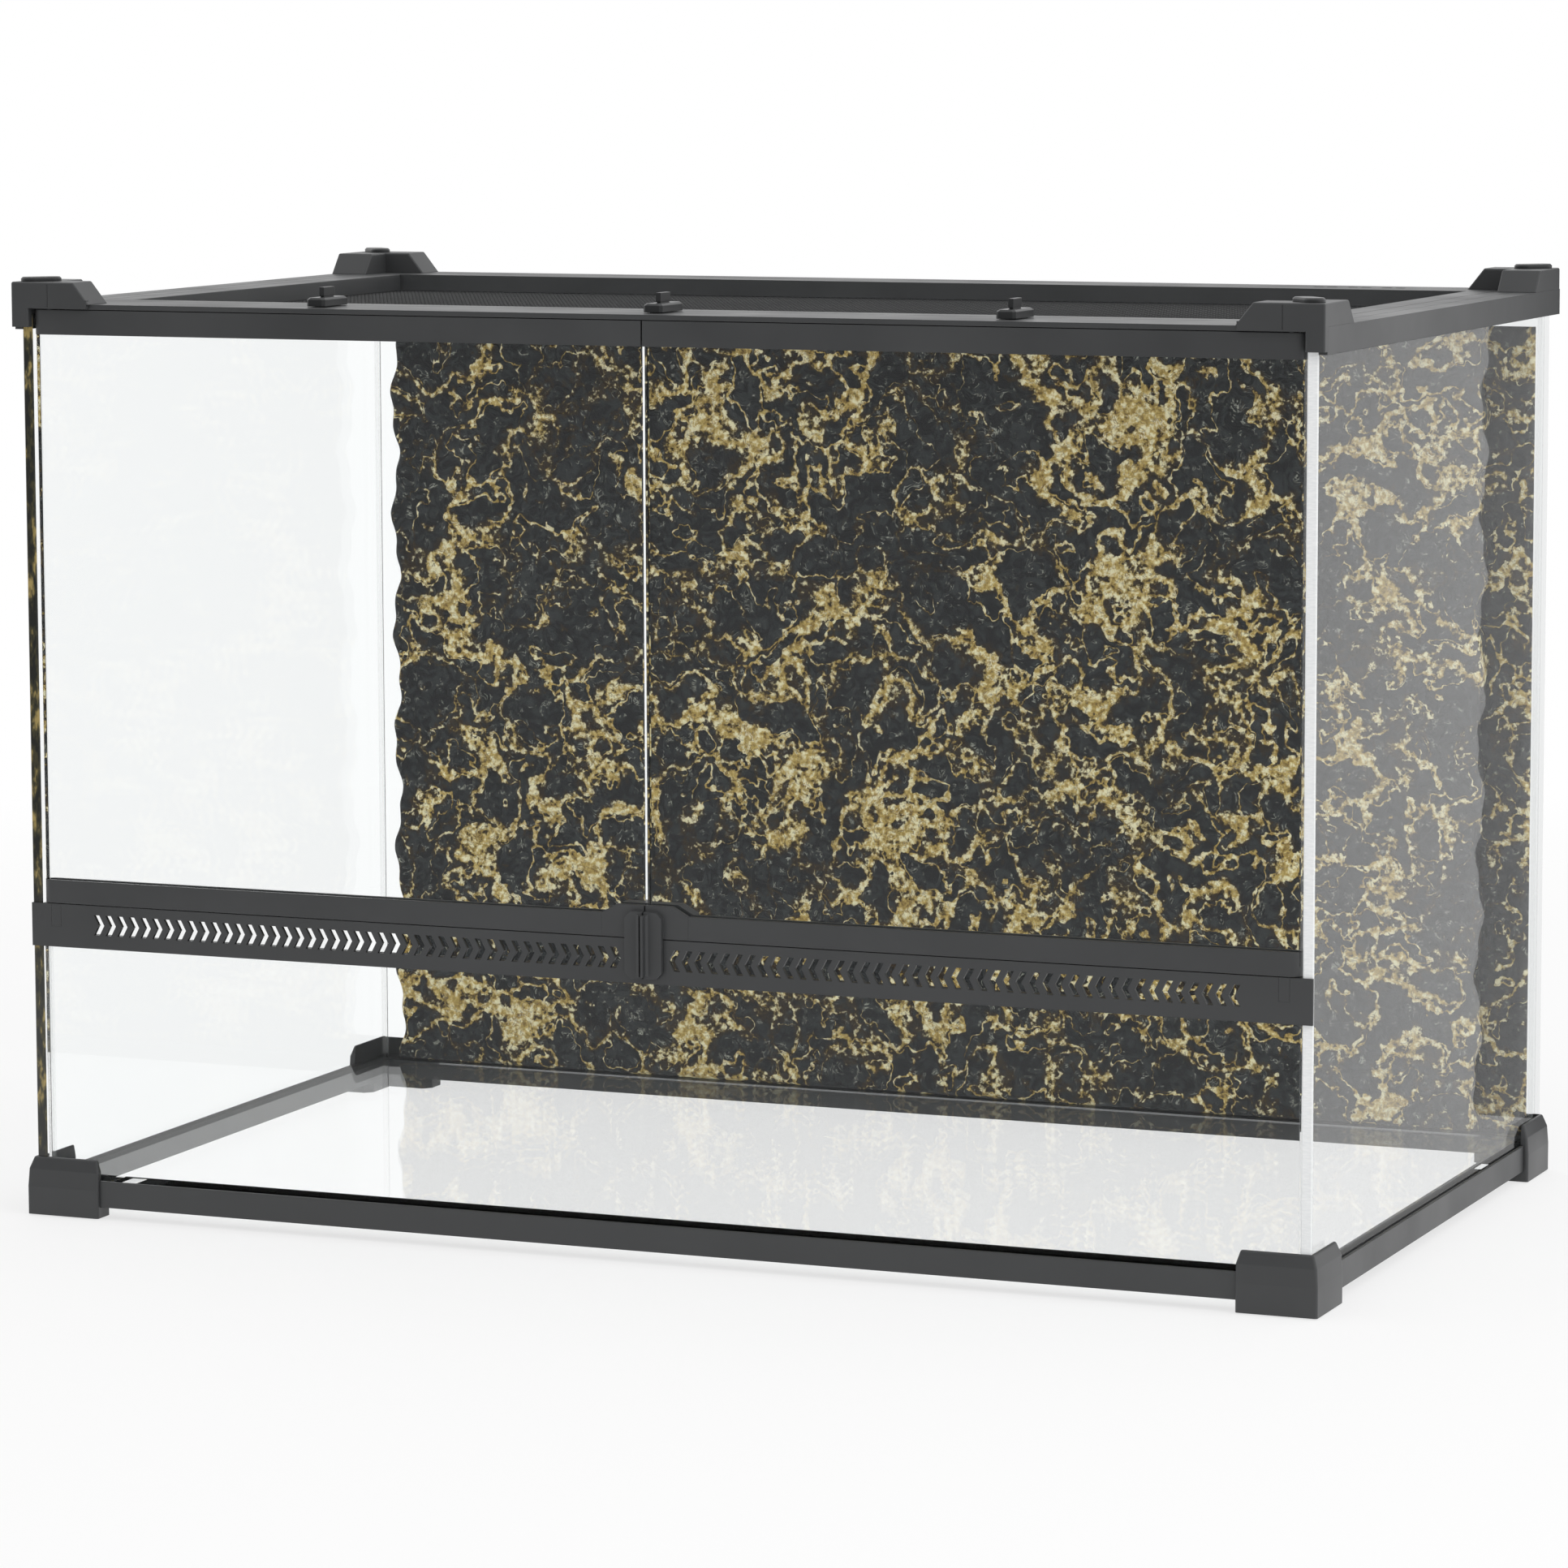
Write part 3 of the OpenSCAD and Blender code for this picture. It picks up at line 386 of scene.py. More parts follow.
def pin_steel():
    """Turned stainless pin: fine rings round the pin spread its highlight."""
    ring_pitch = 0.3 * MM
    material, tree, place = new_material("turned_pin_steel")
    around = add(tree, "Mapping", {"Scale": (0.05, 0.05, 1.0)}, {"Vector": place})
    rings = add(tree, "TexNoise", {"Scale": 1 / ring_pitch, "Detail": 2.0}, {"Vector": around})
    soft = add(tree, "MapRange", {"To Min": 0.22, "To Max": 0.36}, {"Value": rings})
    relief = add(tree, "Bump", {"Strength": 0.2, "Distance": 0.02 * MM}, {"Height": rings})
    shader = add(
        tree,
        "BsdfPrincipled",
        {"Base Color": linear("#C4C7C9"), "Metallic": 1.0},
        {"Roughness": soft, "Normal": relief},
    )
    add(tree, "OutputMaterial", links={"Surface": shader})
    return material


# ---- Meshes ----


def make_piece(name, points, faces, body, replaced, materials, chosen, smooth=False):
    """A mesh object at the origin from arrays of points, in metres, and of faces. chosen has
    each face's place in the list of materials, or one place for all."""
    mesh = bpy.data.meshes.new(name)
    mesh.from_pydata(np.asarray(points, float).tolist(), [], [list(f) for f in faces])
    for material in materials:
        mesh.materials.append(material)
    count = len(mesh.polygons)
    mesh.polygons.foreach_set("material_index", np.broadcast_to(chosen, count).astype(np.int32))
    mesh.polygons.foreach_set("use_smooth", np.full(count, smooth))
    mesh.update()
    piece = bpy.data.objects.new(name, mesh)
    bpy.context.scene.collection.objects.link(piece)
    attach(piece, body)
    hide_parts(*replaced)
    return piece


def make_stage(name, points, faces, material):
    """A mesh object of the studio, which isn't part of the terrarium."""
    mesh = bpy.data.meshes.new(name)
    mesh.from_pydata(points.reshape(-1, 3).tolist(), [], faces.tolist())
    mesh.materials.append(material)
    thing = bpy.data.objects.new(name, mesh)
    bpy.context.scene.collection.objects.link(thing)
    return thing


def strips(rows, across, closed):
    """Quads between neighbouring rows of a grid of points, round the loop if closed."""
    columns = np.arange(across if closed else across - 1)
    after = (columns + 1) % across
    low = np.arange(rows - 1)[:, None] * across
    return np.stack(
        [low + columns, low + after, low + across + after, low + across + columns], -1
    ).reshape(-1, 4)


def pane(name, node, body, thin, look, materials):
    """A pane: four rounded rectangles, one for each edge line of its faces and of its flat
    edge, joined by strips. The arris between face and edge is cut at 45 degrees. The strips
    of its front edge take the last of the materials, and the rest takes the first."""
    low, high = (np.array(corner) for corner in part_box(node))
    wide, tall = (axis for axis in range(3) if axis != thin)
    turn = np.linspace(0, np.pi / 2, look.corner_steps)
    quarter = np.stack([np.cos(turn), np.sin(turn)], -1)
    spin = np.array([[0, -1], [1, 0]])
    ring = np.concatenate([quarter @ np.linalg.matrix_power(spin, k).T for k in range(4)])
    reach = np.repeat([[1, 1], [-1, 1], [-1, -1], [1, -1]], look.corner_steps, 0)
    half = (high - low)[[wide, tall]] / 2
    middle = (high + low)[[wide, tall]] / 2
    straight = half - look.corner
    points = []
    for inset, depth in (
        (look.arris, low[thin]),
        (0.0, low[thin] + look.arris),
        (0.0, high[thin] - look.arris),
        (look.arris, high[thin]),
    ):
        loop = np.empty((len(ring), 3))
        loop[:, [wide, tall]] = middle + reach * straight + ring * (look.corner - inset)
        loop[:, thin] = depth
        points.append(loop)
    points = np.concatenate(points)
    count = len(ring)
    edge = strips(4, count, True)
    first = list(range(count))
    faces = edge.tolist() + [first[::-1], [3 * count + i for i in first]]
    if thin == 1:
        faces = [face[::-1] for face in faces]
    forward = points[edge].mean(1)[:, 1] < low[1] + look.arris
    chosen = np.concatenate([forward, [False, False]]) * (len(materials) - 1)
    return make_piece(name, points, faces, body, [node], materials, chosen)


def bead(corner, away, foot, top, leg):
    """Points of one tooled bead: a hollow quarter arc between two panes, carried upwards."""
    turn = np.linspace(0, np.pi / 2, 7)
    arc = leg * np.stack([1 - np.sin(turn), 1 - np.cos(turn)], -1)
    profile = np.concatenate([[[0.0, 0.0]], arc])
    spots = np.array(corner) + profile * np.array(away)
    return np.concatenate([np.column_stack([spots, np.full(len(spots), z)]) for z in (foot, top)])


def noise(u, v, seed):
    """Gradient noise: every lattice point pulls along a direction of its own, and the pulls
    of four neighbours are blended by the curve 6t^5 - 15t^4 + 10t^3."""
    size = 64
    turn = np.random.default_rng(seed).uniform(0, 2 * np.pi, (size, size))
    i, j = np.floor(u).astype(int), np.floor(v).astype(int)
    a, b = u - i, v - j

    def pull(right, up):
        angle = turn[(i + right) % size, (j + up) % size]
        return np.cos(angle) * (a - right) + np.sin(angle) * (b - up)

    s, t = (f**3 * (f * (6 * f - 15) + 10) for f in (a, b))
    near = pull(0, 0) * (1 - s) + pull(1, 0) * s
    far = pull(0, 1) * (1 - s) + pull(1, 1) * s
    return 1.5 * (near * (1 - t) + far * t)


def ease(x, low, high):
    """0 below low, 1 above high, and a smooth step between."""
    t = np.clip((x - low) / (high - low), 0, 1)
    return t * t * (3 - 2 * t)


def board_edge(z, turn, look):
    """Sideways shift of the board's edge at height z, as in the solid: a sine wave, and half
    as much of a shorter ripple that starts at three times the wave's turn."""
    wave = np.sin(2 * np.pi * z / look.wave + turn)
    ripple = np.sin(2 * np.pi * z / look.ripple + 3 * turn)
    return look.swing * wave + look.swing / 2 * ripple


def slab(name, node, x, z, relief, rim, materials):
    """A rock slab from a grid of places x and z. Its front is pushed back by relief times
    folded noise, 1 - 2|n| at two pitches over a slow swell, and its rim is turned back as a
    quarter circle. The back is flat, and takes the last of the materials."""
    low, high = (np.array(corner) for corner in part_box(node))
    swell, fold, crease = 34 * MM, 12 * MM, 5.5 * MM
    folds = (
        0.5 * noise(x / swell, z / swell, 31)
        + 0.35 * (1 - 2 * np.abs(noise(x / fold, z / fold, 32)))
        + 0.25 * (1 - 2 * np.abs(noise(x / crease, z / crease, 33)))
    )
    sunk = 1 - np.clip(0.5 + 0.5 * folds, 0, 1)
    edge = np.minimum(
        np.minimum(x - x[:, :1], x[:, -1:] - x), np.minimum(z - z[:1], z[-1:] - z)
    )
    turned = rim * (1 - np.sqrt(np.clip(1 - (1 - np.clip(edge / rim, 0, 1)) ** 2, 0, 1)))
    y = np.minimum(low[1] + relief * sunk + turned, high[1] - rim / 4)
    front = np.stack([x, y, z], -1).reshape(-1, 3)
    rows, columns = x.shape
    number = np.arange(rows * columns).reshape(rows, columns)
    ring = np.concatenate(
        [number[0, :-1], number[:-1, -1], number[-1, :0:-1], number[:0:-1, 0]]
    )
    back = front[ring]
    back[:, 1] = high[1]
    behind = len(front) + np.arange(len(ring))
    sides = np.stack([ring, behind, np.roll(behind, -1), np.roll(ring, -1)], -1)
    faces = strips(rows, columns, False).tolist() + sides.tolist() + [behind[::-1].tolist()]
    chosen = np.zeros(len(faces))
    chosen[-1] = len(materials) - 1
    return make_piece(
        name, np.concatenate([front, back]), faces, "tank", [node],
        materials, chosen, smooth=True,
    )


# ---- Settings ----


def colour_setting(name, description, code):
    """A colour setting from an sRGB hex value."""
    return bpy.props.FloatVectorProperty(
        name=name, description=description, default=linear(code), size=4, subtype="COLOR",
        min=0.0, max=1.0,
    )


def length_setting(name, description, default):
    """A length setting, in metres."""
    return bpy.props.FloatProperty(
        name=name, description=description, default=default, unit="LENGTH", precision=5
    )


def angle_setting(name, description, degrees):
    """An angle setting from degrees."""
    return bpy.props.FloatProperty(
        name=name, description=description, default=math.radians(degrees), subtype="ANGLE"
    )


def number_setting(name, description, default):
    """A setting that is a plain number."""
    return bpy.props.FloatProperty(name=name, description=description, default=default)


def count_setting(name, description, default):
    """A setting that is a whole number."""
    return bpy.props.IntProperty(name=name, description=description, default=default)


class TerrariumPlasticSettings(bpy.types.PropertyGroup):
    """Colours and grain of the moulded parts"""

    moulding: colour_setting("Moulding", "Rails, caps and bars", "#3E3F40")
    moulding_pale: colour_setting("Moulding, pale", "Their flow marks", "#444546")
    clip: colour_setting("Clip", "Turn clips and plugs", "#2E2F30")
    clip_pale: colour_setting("Clip, pale", "Their flow marks", "#353637")
    grain: length_setting("Grain", "Pitch of the mould's eroded grain", 0.7 * MM)


class TerrariumGlassSettings(bpy.types.PropertyGroup):
    """Looks and edge work of the panes"""

    tint: colour_setting("Tint", "Standing panes", "#FDFEFE")
    floor_tint: colour_setting("Floor tint", "Floor pane", "#FFFFFF")
    ior: number_setting("IOR", "Matched IOR of the standing panes", 1.18)
    floor_ior: number_setting("Floor IOR", "Matched IOR of the floor pane", 1.07)
    arris: length_setting("Arris", "Cut along a pane's edges", 0.4 * MM)
    corner: length_setting("Corner", "Radius of a pane's corners", 1.2 * MM)
    corner_steps: count_setting("Corner steps", "Points round one corner", 5)
    bead: length_setting("Bead", "Leg of the silicone beads", 2 * MM)


class TerrariumBoardSettings(bpy.types.PropertyGroup):
    """Colours and shape of the rock board and its backing"""

    rock: colour_setting("Rock", "Black rock", "#25282A")
    gold: colour_setting("Gold", "Gold veins", "#CFB468")
    # the bright gold is a painted highlight, and the brown is the gold's wear with painted shade
    bright: colour_setting("Gold, bright", "Crests of the gold", "#FBF3CB")
    brown: colour_setting("Brown", "Worn gold", "#A08340")
    foam: colour_setting("Foam", "Back of the backing", "#26282A")
    foam_pale: colour_setting("Foam, pale", "Its lighter cells", "#303234")
    foam_cell: length_setting("Foam cell", "Size of the foam's cells", 1.4 * MM)
    cell: length_setting("Cell", "Size of the veins' larger cells", 25 * MM)
    relief: length_setting("Relief", "Depth of the moulded relief", 1.6 * MM)
    rim: length_setting("Rim", "Radius of the board's rim", 2.2 * MM)
    crown: length_setting("Crown", "Rounding of the board's upper corners", 4 * MM)
    swing: length_setting("Swing", "Swing of the wavy edges", 1.5 * MM)
    wave: length_setting("Wave", "Height of one wave", 46 * MM)
    ripple: length_setting("Ripple", "Height of one ripple", 17 * MM)
    turn_left: angle_setting("Turn, left", "Where the left edge's wave starts", 200)
    turn_right: angle_setting("Turn, right", "Where the right edge's wave starts", 20)
    columns: count_setting("Columns", "Points across the board", 340)
    rows: count_setting("Rows", "Points up the board", 230)
    backing_relief: length_setting("Backing relief", "Depth of the backing's relief", 0.5 * MM)
    backing_rim: length_setting("Backing rim", "Radius of the backing's rim", 0.4 * MM)
    backing_shown: length_setting("Backing shown", "Place along X where it comes to show", 210 * MM)
    backing_gap: length_setting("Backing gap", "From its coarse points to its fine ones", 2 * MM)
    backing_hidden: count_setting("Backing, hidden", "Points across its hidden stretch", 12)
    backing_seen: count_setting("Backing, seen", "Points across the stretch that shows", 24)
    backing_rows: count_setting("Backing rows", "Points up the backing", 180)


class TerrariumScreenSettings(bpy.types.PropertyGroup):
    """The lid's woven screen"""

    pitch: length_setting("Pitch", "Distance from wire to wire", 1.6 * MM)
    wire: length_setting("Wire", "Diameter of a wire", 0.3 * MM)
    coat: colour_setting("Coat", "Coated wire", "#2A2B2C")
    coat_pale: colour_setting("Coat, pale", "Lighter spots of the coat", "#333435")
    coat_grain: length_setting("Coat grain", "Pitch of the coat's grain", 0.8 * MM)


class TerrariumStageSettings(bpy.types.PropertyGroup):
    """Floor, light and camera"""

    floor: colour_setting("Floor", "Card floor", "#F6F6F6")
    floor_half: length_setting("Floor half", "Half the floor's width", 3.0)
    floor_drop: length_setting("Floor drop", "Gap below the feet", 0.5 * MM)
    floor_steps: count_setting("Floor steps", "Points along one side of the floor", 49)
    fade_from: length_setting("Fade from", "Distance at which the floor begins to fade", 0.75)
    fade_to: length_setting("Fade to", "Distance at which it is gone", 1.25)
    sky: number_setting("Sky", "Strength of the soft light from all round", 0.8)
    front: number_setting("Front", "What the room in front adds to reflections", 0.22)
    glow: number_setting("Glow", "Share of plain white in the floor, seen directly", 0.7)
    glow_glass: number_setting("Glow in glass", "The same, seen through or in the panes", 0.92)
    flag_start: length_setting("Flag start", "Place along X of the flag's inner edge", 256 * MM)
    flag_edge: length_setting("Flag edge", "Place along X of its wavy edge", 302 * MM)
    flag_back: length_setting("Flag back", "Place along Y of the flag", 250 * MM)
    flag_height: length_setting("Flag height", "Height of the flag", 420 * MM)
    flag_steps: count_setting("Flag steps", "Points up the flag", 120)
    felt: colour_setting("Felt", "The flag's felt", "#0C0C0C")
    felt_pale: colour_setting("Felt, pale", "Its lighter nap", "#141414")
    camera_x: length_setting("Camera X", "Camera's place along X, fitted to the photo", 0.86979)
    camera_y: length_setting("Camera Y", "Camera's place along Y, fitted to the photo", -2.11117)
    camera_z: length_setting("Camera Z", "Camera's height, fitted to the photo", 0.4452)
    yaw: angle_setting("Yaw", "Camera's turn to the left, from looking along Y", 22.5275)
    pitch: angle_setting("Pitch", "Camera's tilt downwards", 7.2445)
    roll: angle_setting("Roll", "Camera's roll to the left", -0.171)
    lens: bpy.props.FloatProperty(
        name="Lens", description="Focal length of the camera", default=141.26, unit="CAMERA"
    )


SETTINGS = {
    "terrarium_plastic": TerrariumPlasticSettings,
    "terrarium_glass": TerrariumGlassSettings,
    "terrarium_board": TerrariumBoardSettings,
    "terrarium_screen": TerrariumScreenSettings,
    "terrarium_stage": TerrariumStageSettings,
}


# ---- Operators ----


def dress(nodes, material):
    """Gives CAD nodes a material of their own in place of the packed one."""
    for name in nodes:
        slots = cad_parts[name].data.materials
        slots.clear()
        slots.append(material)


class TERRARIUM_OT_mouldings(bpy.types.Operator):
    """Finishes the moulded rails, feet, caps, strip, bars, pulls, clips and plugs"""

    bl_idname = "terrarium.mouldings"
    bl_label = "Mouldings"

    def execute(self, context):
        look = context.scene.terrarium_plastic
        abs_black = moulded_plastic(
            "moulded_abs", look.moulding, look.moulding_pale, 0.4, look.grain, 0.03 * MM
        )
        nylon = moulded_plastic(
            "moulded_nylon", look.clip, look.clip_pale, 0.3, look.grain, 0.02 * MM
        )
        dress(ABS_NODES, abs_black)
        dress(NYLON_NODES, nylon)
        dress([f"door_pins_{side}" for side in SIDES], pin_steel())
        return {"FINISHED"}


class TERRARIUM_OT_panes(bpy.types.Operator):
    """Makes the fixed panes and the door panes, with cut edges"""

    bl_idname = "terrarium.panes"
    bl_label = "Panes"

    def execute(self, context):
        look = context.scene.terrarium_glass
        glass = float_glass("float_glass", look.tint, look.ior)
        floor = float_glass("floor_float_glass", look.floor_tint, look.floor_ior)
        # the left pane's front edge is polished, with a painted reflection of the board, and the
        # right one's is left ground
        for name, node, thin, materials in (
            ("pane_left", "side_glass_left", 0, [glass, polished_edge_painted_reflection()]),
            ("pane_right", "side_glass_right", 0, [glass, ground_edge()]),
            ("pane_back", "back_glass", 1, [glass]),
            ("pane_front_lower", "front_lower_glass", 1, [glass]),
            ("pane_floor", "floor_glass", 2, [floor]),
        ):
            pane(name, node, "tank", thin, look, materials)
        for side in SIDES:
            pane(
                f"pane_door_{side}", f"door_glass_{side}", f"door_{side}", 1,
                look, [glass],
            )
        return {"FINISHED"}


class TERRARIUM_OT_beads(bpy.types.Operator):
    """Makes the silicone beads in the four inner corners"""

    bl_idname = "terrarium.beads"
    bl_label = "Silicone beads"

    def execute(self, context):
        leg = context.scene.terrarium_glass.bead
        low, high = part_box("silicone_beads")
        # the front beads end just below the vent strip
        front_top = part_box("vent_strip")[0].z - MM
        points, faces = [], []
        for across, x in ((1, low.x), (-1, high.x)):
            for inward, y, top in ((1, low.y, front_top), (-1, high.y, high.z)):
                spots = bead((x, y), (across, inward), low.z, top, leg)
                half = len(spots) // 2
                bottom = list(range(half))
                upper = list(range(half, 2 * half))
                shell = strips(2, half, True).tolist() + [bottom[::-1], upper]
                if across * inward < 0:
                    shell = [face[::-1] for face in shell]
                start = sum(len(p) for p in points)
                faces += [[start + i for i in face] for face in shell]
                points.append(spots)
        make_piece(
            "corner_beads", np.concatenate(points), faces, "tank",
            ["silicone_beads"], [neutral_silicone()], 0,
        )
        return {"FINISHED"}


class TERRARIUM_OT_board(bpy.types.Operator):
    """Makes the rock board and the sheet behind it"""

    bl_idname = "terrarium.board"
    bl_label = "Rock board"

    def execute(self, context):
        look = context.scene.terrarium_board
        rock = gilded_rock(look)
        foam = moulded_plastic(
            "foam_back", look.foam, look.foam_pale, 0.75, look.foam_cell, 0.2 * MM
        )
        low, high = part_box("background_board")
        reach = 1.5 * look.swing
        z = np.linspace(low.z, high.z, look.rows)[:, None]
        across = np.linspace(0, 1, look.columns)[None, :]
        left = low.x + reach + board_edge(z, look.turn_left, look)
        right = high.x - reach + board_edge(z, look.turn_right, look)
        # the upper corners are rounded off as they are in the solid
        lift = ease(z, high.z - look.crown, high.z)
        crown = look.crown * (1 - np.sqrt(np.clip(1 - lift**2, 0, 1)))
        left, right = left + crown, right - crown
        x = left + across * (right - left)
        z = np.broadcast_to(z, x.shape)
        slab("rock_board", "background_board", x, z, look.relief, look.rim, [rock])

        # the sheet is as high as the board. It shows only beside the board, so its grid is
        # fine there alone
        first, last = (corner.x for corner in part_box("background_backing"))
        hidden = np.linspace(first, look.backing_shown, look.backing_hidden)
        seen = np.linspace(look.backing_shown + look.backing_gap, last, look.backing_seen)
        x, z = np.meshgrid(
            np.concatenate([hidden, seen]), np.linspace(low.z, high.z, look.backing_rows)
        )
        slab(
            "rock_backing", "background_backing", x, z, look.backing_relief, look.backing_rim,
            [rock, foam],
        )
        return {"FINISHED"}


class TERRARIUM_OT_screen(bpy.types.Operator):
    """Weaves the lid's screen"""

    bl_idname = "terrarium.screen"
    bl_label = "Woven screen"

    def execute(self, context):
        look = context.scene.terrarium_screen
        low, high = (np.array(corner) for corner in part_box("lid_screen"))
        radius, pitch = look.wire / 2, look.pitch
        middle = (low[2] + high[2]) / 2
        ring = radius * np.array([[1, 0], [0, 1], [-1, 0], [0, -1]])
        points = []
        for along, across, lift in ((0, 1, radius), (1, 0, -radius)):
            number = int((high[across] - low[across] - pitch) / pitch)
            start = (low[across] + high[across] - pitch * (number - 1)) / 2
            places = start + pitch * np.arange(number)
            # every second wire lies above the ones it crosses, the others below
            above = np.where(np.arange(number) % 2, lift, -lift)
            wires = np.empty((number, 2, 4, 3))
            wires[..., along] = np.array([low[along], high[along]])[None, :, None]
            wires[..., across] = places[:, None, None] + ring[:, 0]
            wires[..., 2] = middle + above[:, None, None] + ring[:, 1]
            points.append(wires.reshape(-1, 3))
        points = np.concatenate(points)
        # a wire is a square bar of eight points: four sides and two ends
        bar = np.array(
            [[k, (k + 1) % 4, 4 + (k + 1) % 4, 4 + k] for k in range(4)]
            + [[3, 2, 1, 0], [4, 5, 6, 7]]
        )
        faces = (bar + 8 * np.arange(len(points) // 8)[:, None, None]).reshape(-1, 4)
        coat = moulded_plastic(
            "powder_coated_wire", look.coat, look.coat_pale, 0.45, look.coat_grain, 0.02 * MM
        )
        make_piece(
            "woven_screen", points, faces.tolist(), "lid", ["lid_screen"],
            [coat], 0,
        )
        return {"FINISHED"}


def card_floor(look):
    """Card floor, which fades out far from the object. The camera sees a share of it as
    plain white and the rest as lit card, which keeps the object's shadow, and the panes see
    more of the white."""
    material, tree, place = new_material("studio_floor")
    reach = add(tree, "VectorMath", {"operation": "LENGTH"}, {0: place})
    fade = add(
        tree,
        "MapRange",
        {"From Min": look.fade_from, "From Max": look.fade_to},
        {"Value": (reach, "Value")},
    )
    card = add(
        tree,
        "BsdfPrincipled",
        {"Base Color": look.floor, "Roughness": 0.9, "Specular IOR Level": 0.0},
    )
    white = add(tree, "Emission", {"Color": linear("#FFFFFF"), "Strength": 1.0})
    path = add(tree, "LightPath")
    glass = add(
        tree,
        "Math",
        {"operation": "MAXIMUM"},
        {0: (path, "Is Transmission Ray"), 1: (path, "Is Glossy Ray")},
    )
    through = add(tree, "Math", {"operation": "MULTIPLY", 1: look.glow_glass}, {0: glass})
    direct = add(
        tree, "Math", {"operation": "MULTIPLY", 1: look.glow}, {0: (path, "Is Camera Ray")}
    )
    seen = add(tree, "Math", {"operation": "MAXIMUM"}, {0: direct, 1: through})
    lit = add(tree, "MixShader", links={0: seen, 1: card, 2: white})
    gone = add(tree, "BsdfTransparent")
    mixed = add(tree, "MixShader", links={0: fade, 1: lit, 2: gone})
    add(tree, "OutputMaterial", links={"Surface": mixed})
    return material


def room(look):
    """The room's light: plain white where the camera looks, soft light of the sky's
    strength for surfaces, and reflections that get dim towards the room in front."""
    # the directions, by their Y, between which the reflected room goes from dim to bright
    front_end, back_end = -0.75, -0.15
    world = bpy.data.worlds.new("studio_light")
    world.use_nodes = True
    tree = world.node_tree
    tree.nodes.clear()
    path = add(tree, "LightPath")
    seen = add(
        tree,
        "Math",
        {"operation": "MAXIMUM"},
        {0: (path, "Is Camera Ray"), 1: (path, "Is Transmission Ray")},
    )
    way = add(tree, "TexCoord")
    part = add(tree, "SeparateXYZ", links={"Vector": (way, "Generated")})
    mirrored = add(
        tree,
        "MapRange",
        {"From Min": front_end, "From Max": back_end, "To Min": look.front, "To Max": 1.0},
        {"Value": (part, "Y")},
    )
    lit = add(
        tree,
        "Mix",
        {"data_type": "FLOAT", NUMBER_A: look.sky},
        {"Factor": (path, "Is Glossy Ray"), NUMBER_B: mirrored},
    )
    level = add(
        tree, "Mix", {"data_type": "FLOAT", NUMBER_B: 1.0}, {"Factor": seen, NUMBER_A: lit}
    )
    sky = add(tree, "Background", {"Color": linear("#FFFFFF")}, {"Strength": level})
    add(tree, "OutputWorld", links={"Surface": sky})
    return world


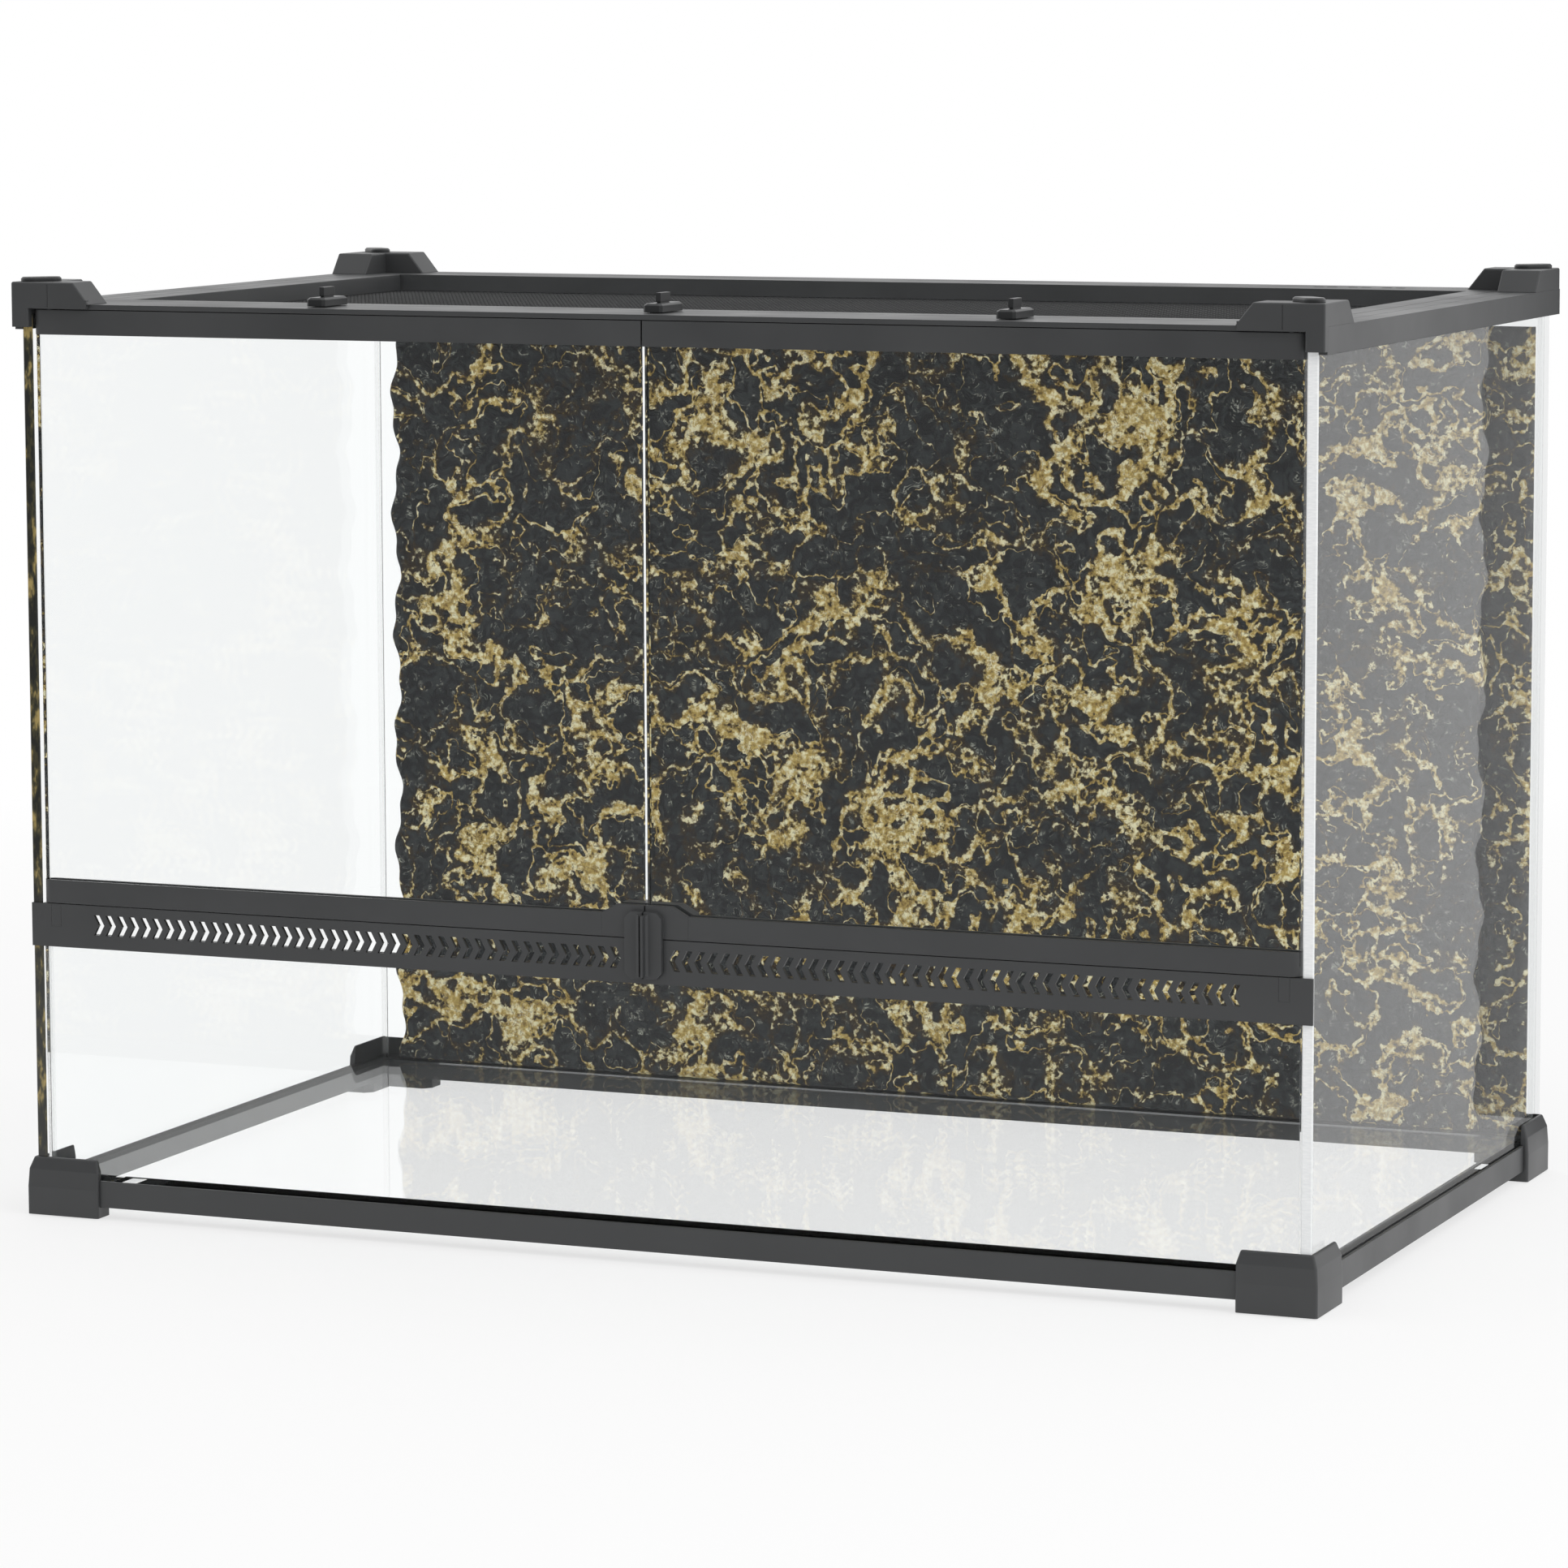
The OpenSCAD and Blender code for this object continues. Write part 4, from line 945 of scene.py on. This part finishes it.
class TERRARIUM_OT_stage(bpy.types.Operator):
    """Sets the floor, the light and the camera"""

    bl_idname = "terrarium.stage"
    bl_label = "Stage"

    def execute(self, context):
        look = context.scene.terrarium_stage
        scene = context.scene
        scene.view_settings.view_transform = "Standard"
        scene.world = room(look)

        line = np.linspace(-look.floor_half, look.floor_half, look.floor_steps)
        x, y = np.meshgrid(line, line)
        points = np.stack([x, y, np.full_like(x, -look.floor_drop)], -1)
        faces = strips(look.floor_steps, look.floor_steps, False)
        make_stage("studio_floor", points, faces, card_floor(look))

        # The flag: a black felt card behind the tank's right corner, with a wavy edge, which
        # ends the white reflection in the side pane. Nothing but reflections shows it.
        z = np.linspace(0, look.flag_height, look.flag_steps)
        edge = look.flag_edge + board_edge(z, 0.0, scene.terrarium_board)
        x = np.stack([np.full_like(z, look.flag_start), edge], -1)
        points = np.stack([x, np.full_like(x, look.flag_back), np.stack([z, z], -1)], -1)
        felt = moulded_plastic("black_felt", look.felt, look.felt_pale, 0.8, MM, 0.1 * MM)
        flag = make_stage("black_flag", points, strips(look.flag_steps, 2, False), felt)
        flag.visible_camera = flag.visible_diffuse = False
        flag.visible_transmission = flag.visible_shadow = False

        # each softbox has its place, its width in metres and its power in watts, and is
        # aimed at the tank's middle
        target = Vector((0, 0, 0.17))
        for name, spot, width, power in (
            ("softbox_right", (1.9, -0.4, 1.7), 1.6, 17.0),
            ("softbox_top", (-0.4, 0.3, 2.4), 2.0, 5.0),
        ):
            lamp = bpy.data.lights.new(name, "AREA")
            lamp.size, lamp.energy = width, power
            holder = bpy.data.objects.new(name, lamp)
            holder.location = spot
            holder.rotation_euler = (target - Vector(spot)).to_track_quat("-Z", "Y").to_euler()
            holder.visible_glossy = False
            scene.collection.objects.link(holder)

        # level axes of the camera from its yaw and pitch, then rolled about its view
        level = math.cos(look.pitch)
        forward = Vector(
            (-math.sin(look.yaw) * level, math.cos(look.yaw) * level, -math.sin(look.pitch))
        )
        right = Vector((math.cos(look.yaw), math.sin(look.yaw), 0))
        up = right.cross(forward)
        rolled_right = right * math.cos(look.roll) + up * math.sin(look.roll)
        rolled_up = up * math.cos(look.roll) - right * math.sin(look.roll)
        camera = bpy.data.cameras.new("camera")
        camera.lens, camera.sensor_width = look.lens, 36.0
        camera.clip_start, camera.clip_end = 0.05, 50.0
        holder = bpy.data.objects.new("camera", camera)
        turn = Matrix((rolled_right, rolled_up, -forward)).transposed().to_4x4()
        place = Matrix.Translation((look.camera_x, look.camera_y, look.camera_z))
        holder.matrix_world = place @ turn
        scene.collection.objects.link(holder)
        scene.camera = holder
        return {"FINISHED"}


OPERATORS = (
    TERRARIUM_OT_stage,
    TERRARIUM_OT_mouldings,
    TERRARIUM_OT_panes,
    TERRARIUM_OT_beads,
    TERRARIUM_OT_board,
    TERRARIUM_OT_screen,
)


class VIEW3D_PT_terrarium(bpy.types.Panel):
    """Lists the terrarium's pieces and their settings"""

    bl_label = "Terrarium"
    bl_idname = "VIEW3D_PT_terrarium"
    bl_space_type = "VIEW_3D"
    bl_region_type = "UI"
    bl_category = "Terrarium"

    def draw(self, context):
        for operator in OPERATORS:
            self.layout.operator(operator.bl_idname)
        for name, group in SETTINGS.items():
            box = self.layout.box()
            box.label(text=group.__doc__)
            for key in group.__annotations__:
                box.prop(getattr(context.scene, name), key)


def register():
    for cls in (*SETTINGS.values(), *OPERATORS, VIEW3D_PT_terrarium):
        bpy.utils.register_class(cls)
    for name, group in SETTINGS.items():
        setattr(bpy.types.Scene, name, bpy.props.PointerProperty(type=group))


def unregister():
    for name in SETTINGS:
        delattr(bpy.types.Scene, name)
    for cls in (VIEW3D_PT_terrarium, *OPERATORS[::-1], *list(SETTINGS.values())[::-1]):
        bpy.utils.unregister_class(cls)


def main():
    """Makes everything in order."""
    register()
    for operator in OPERATORS:
        group, name = operator.bl_idname.split(".")
        getattr(getattr(bpy.ops, group), name)()


if __name__ == "__main__":
    main()
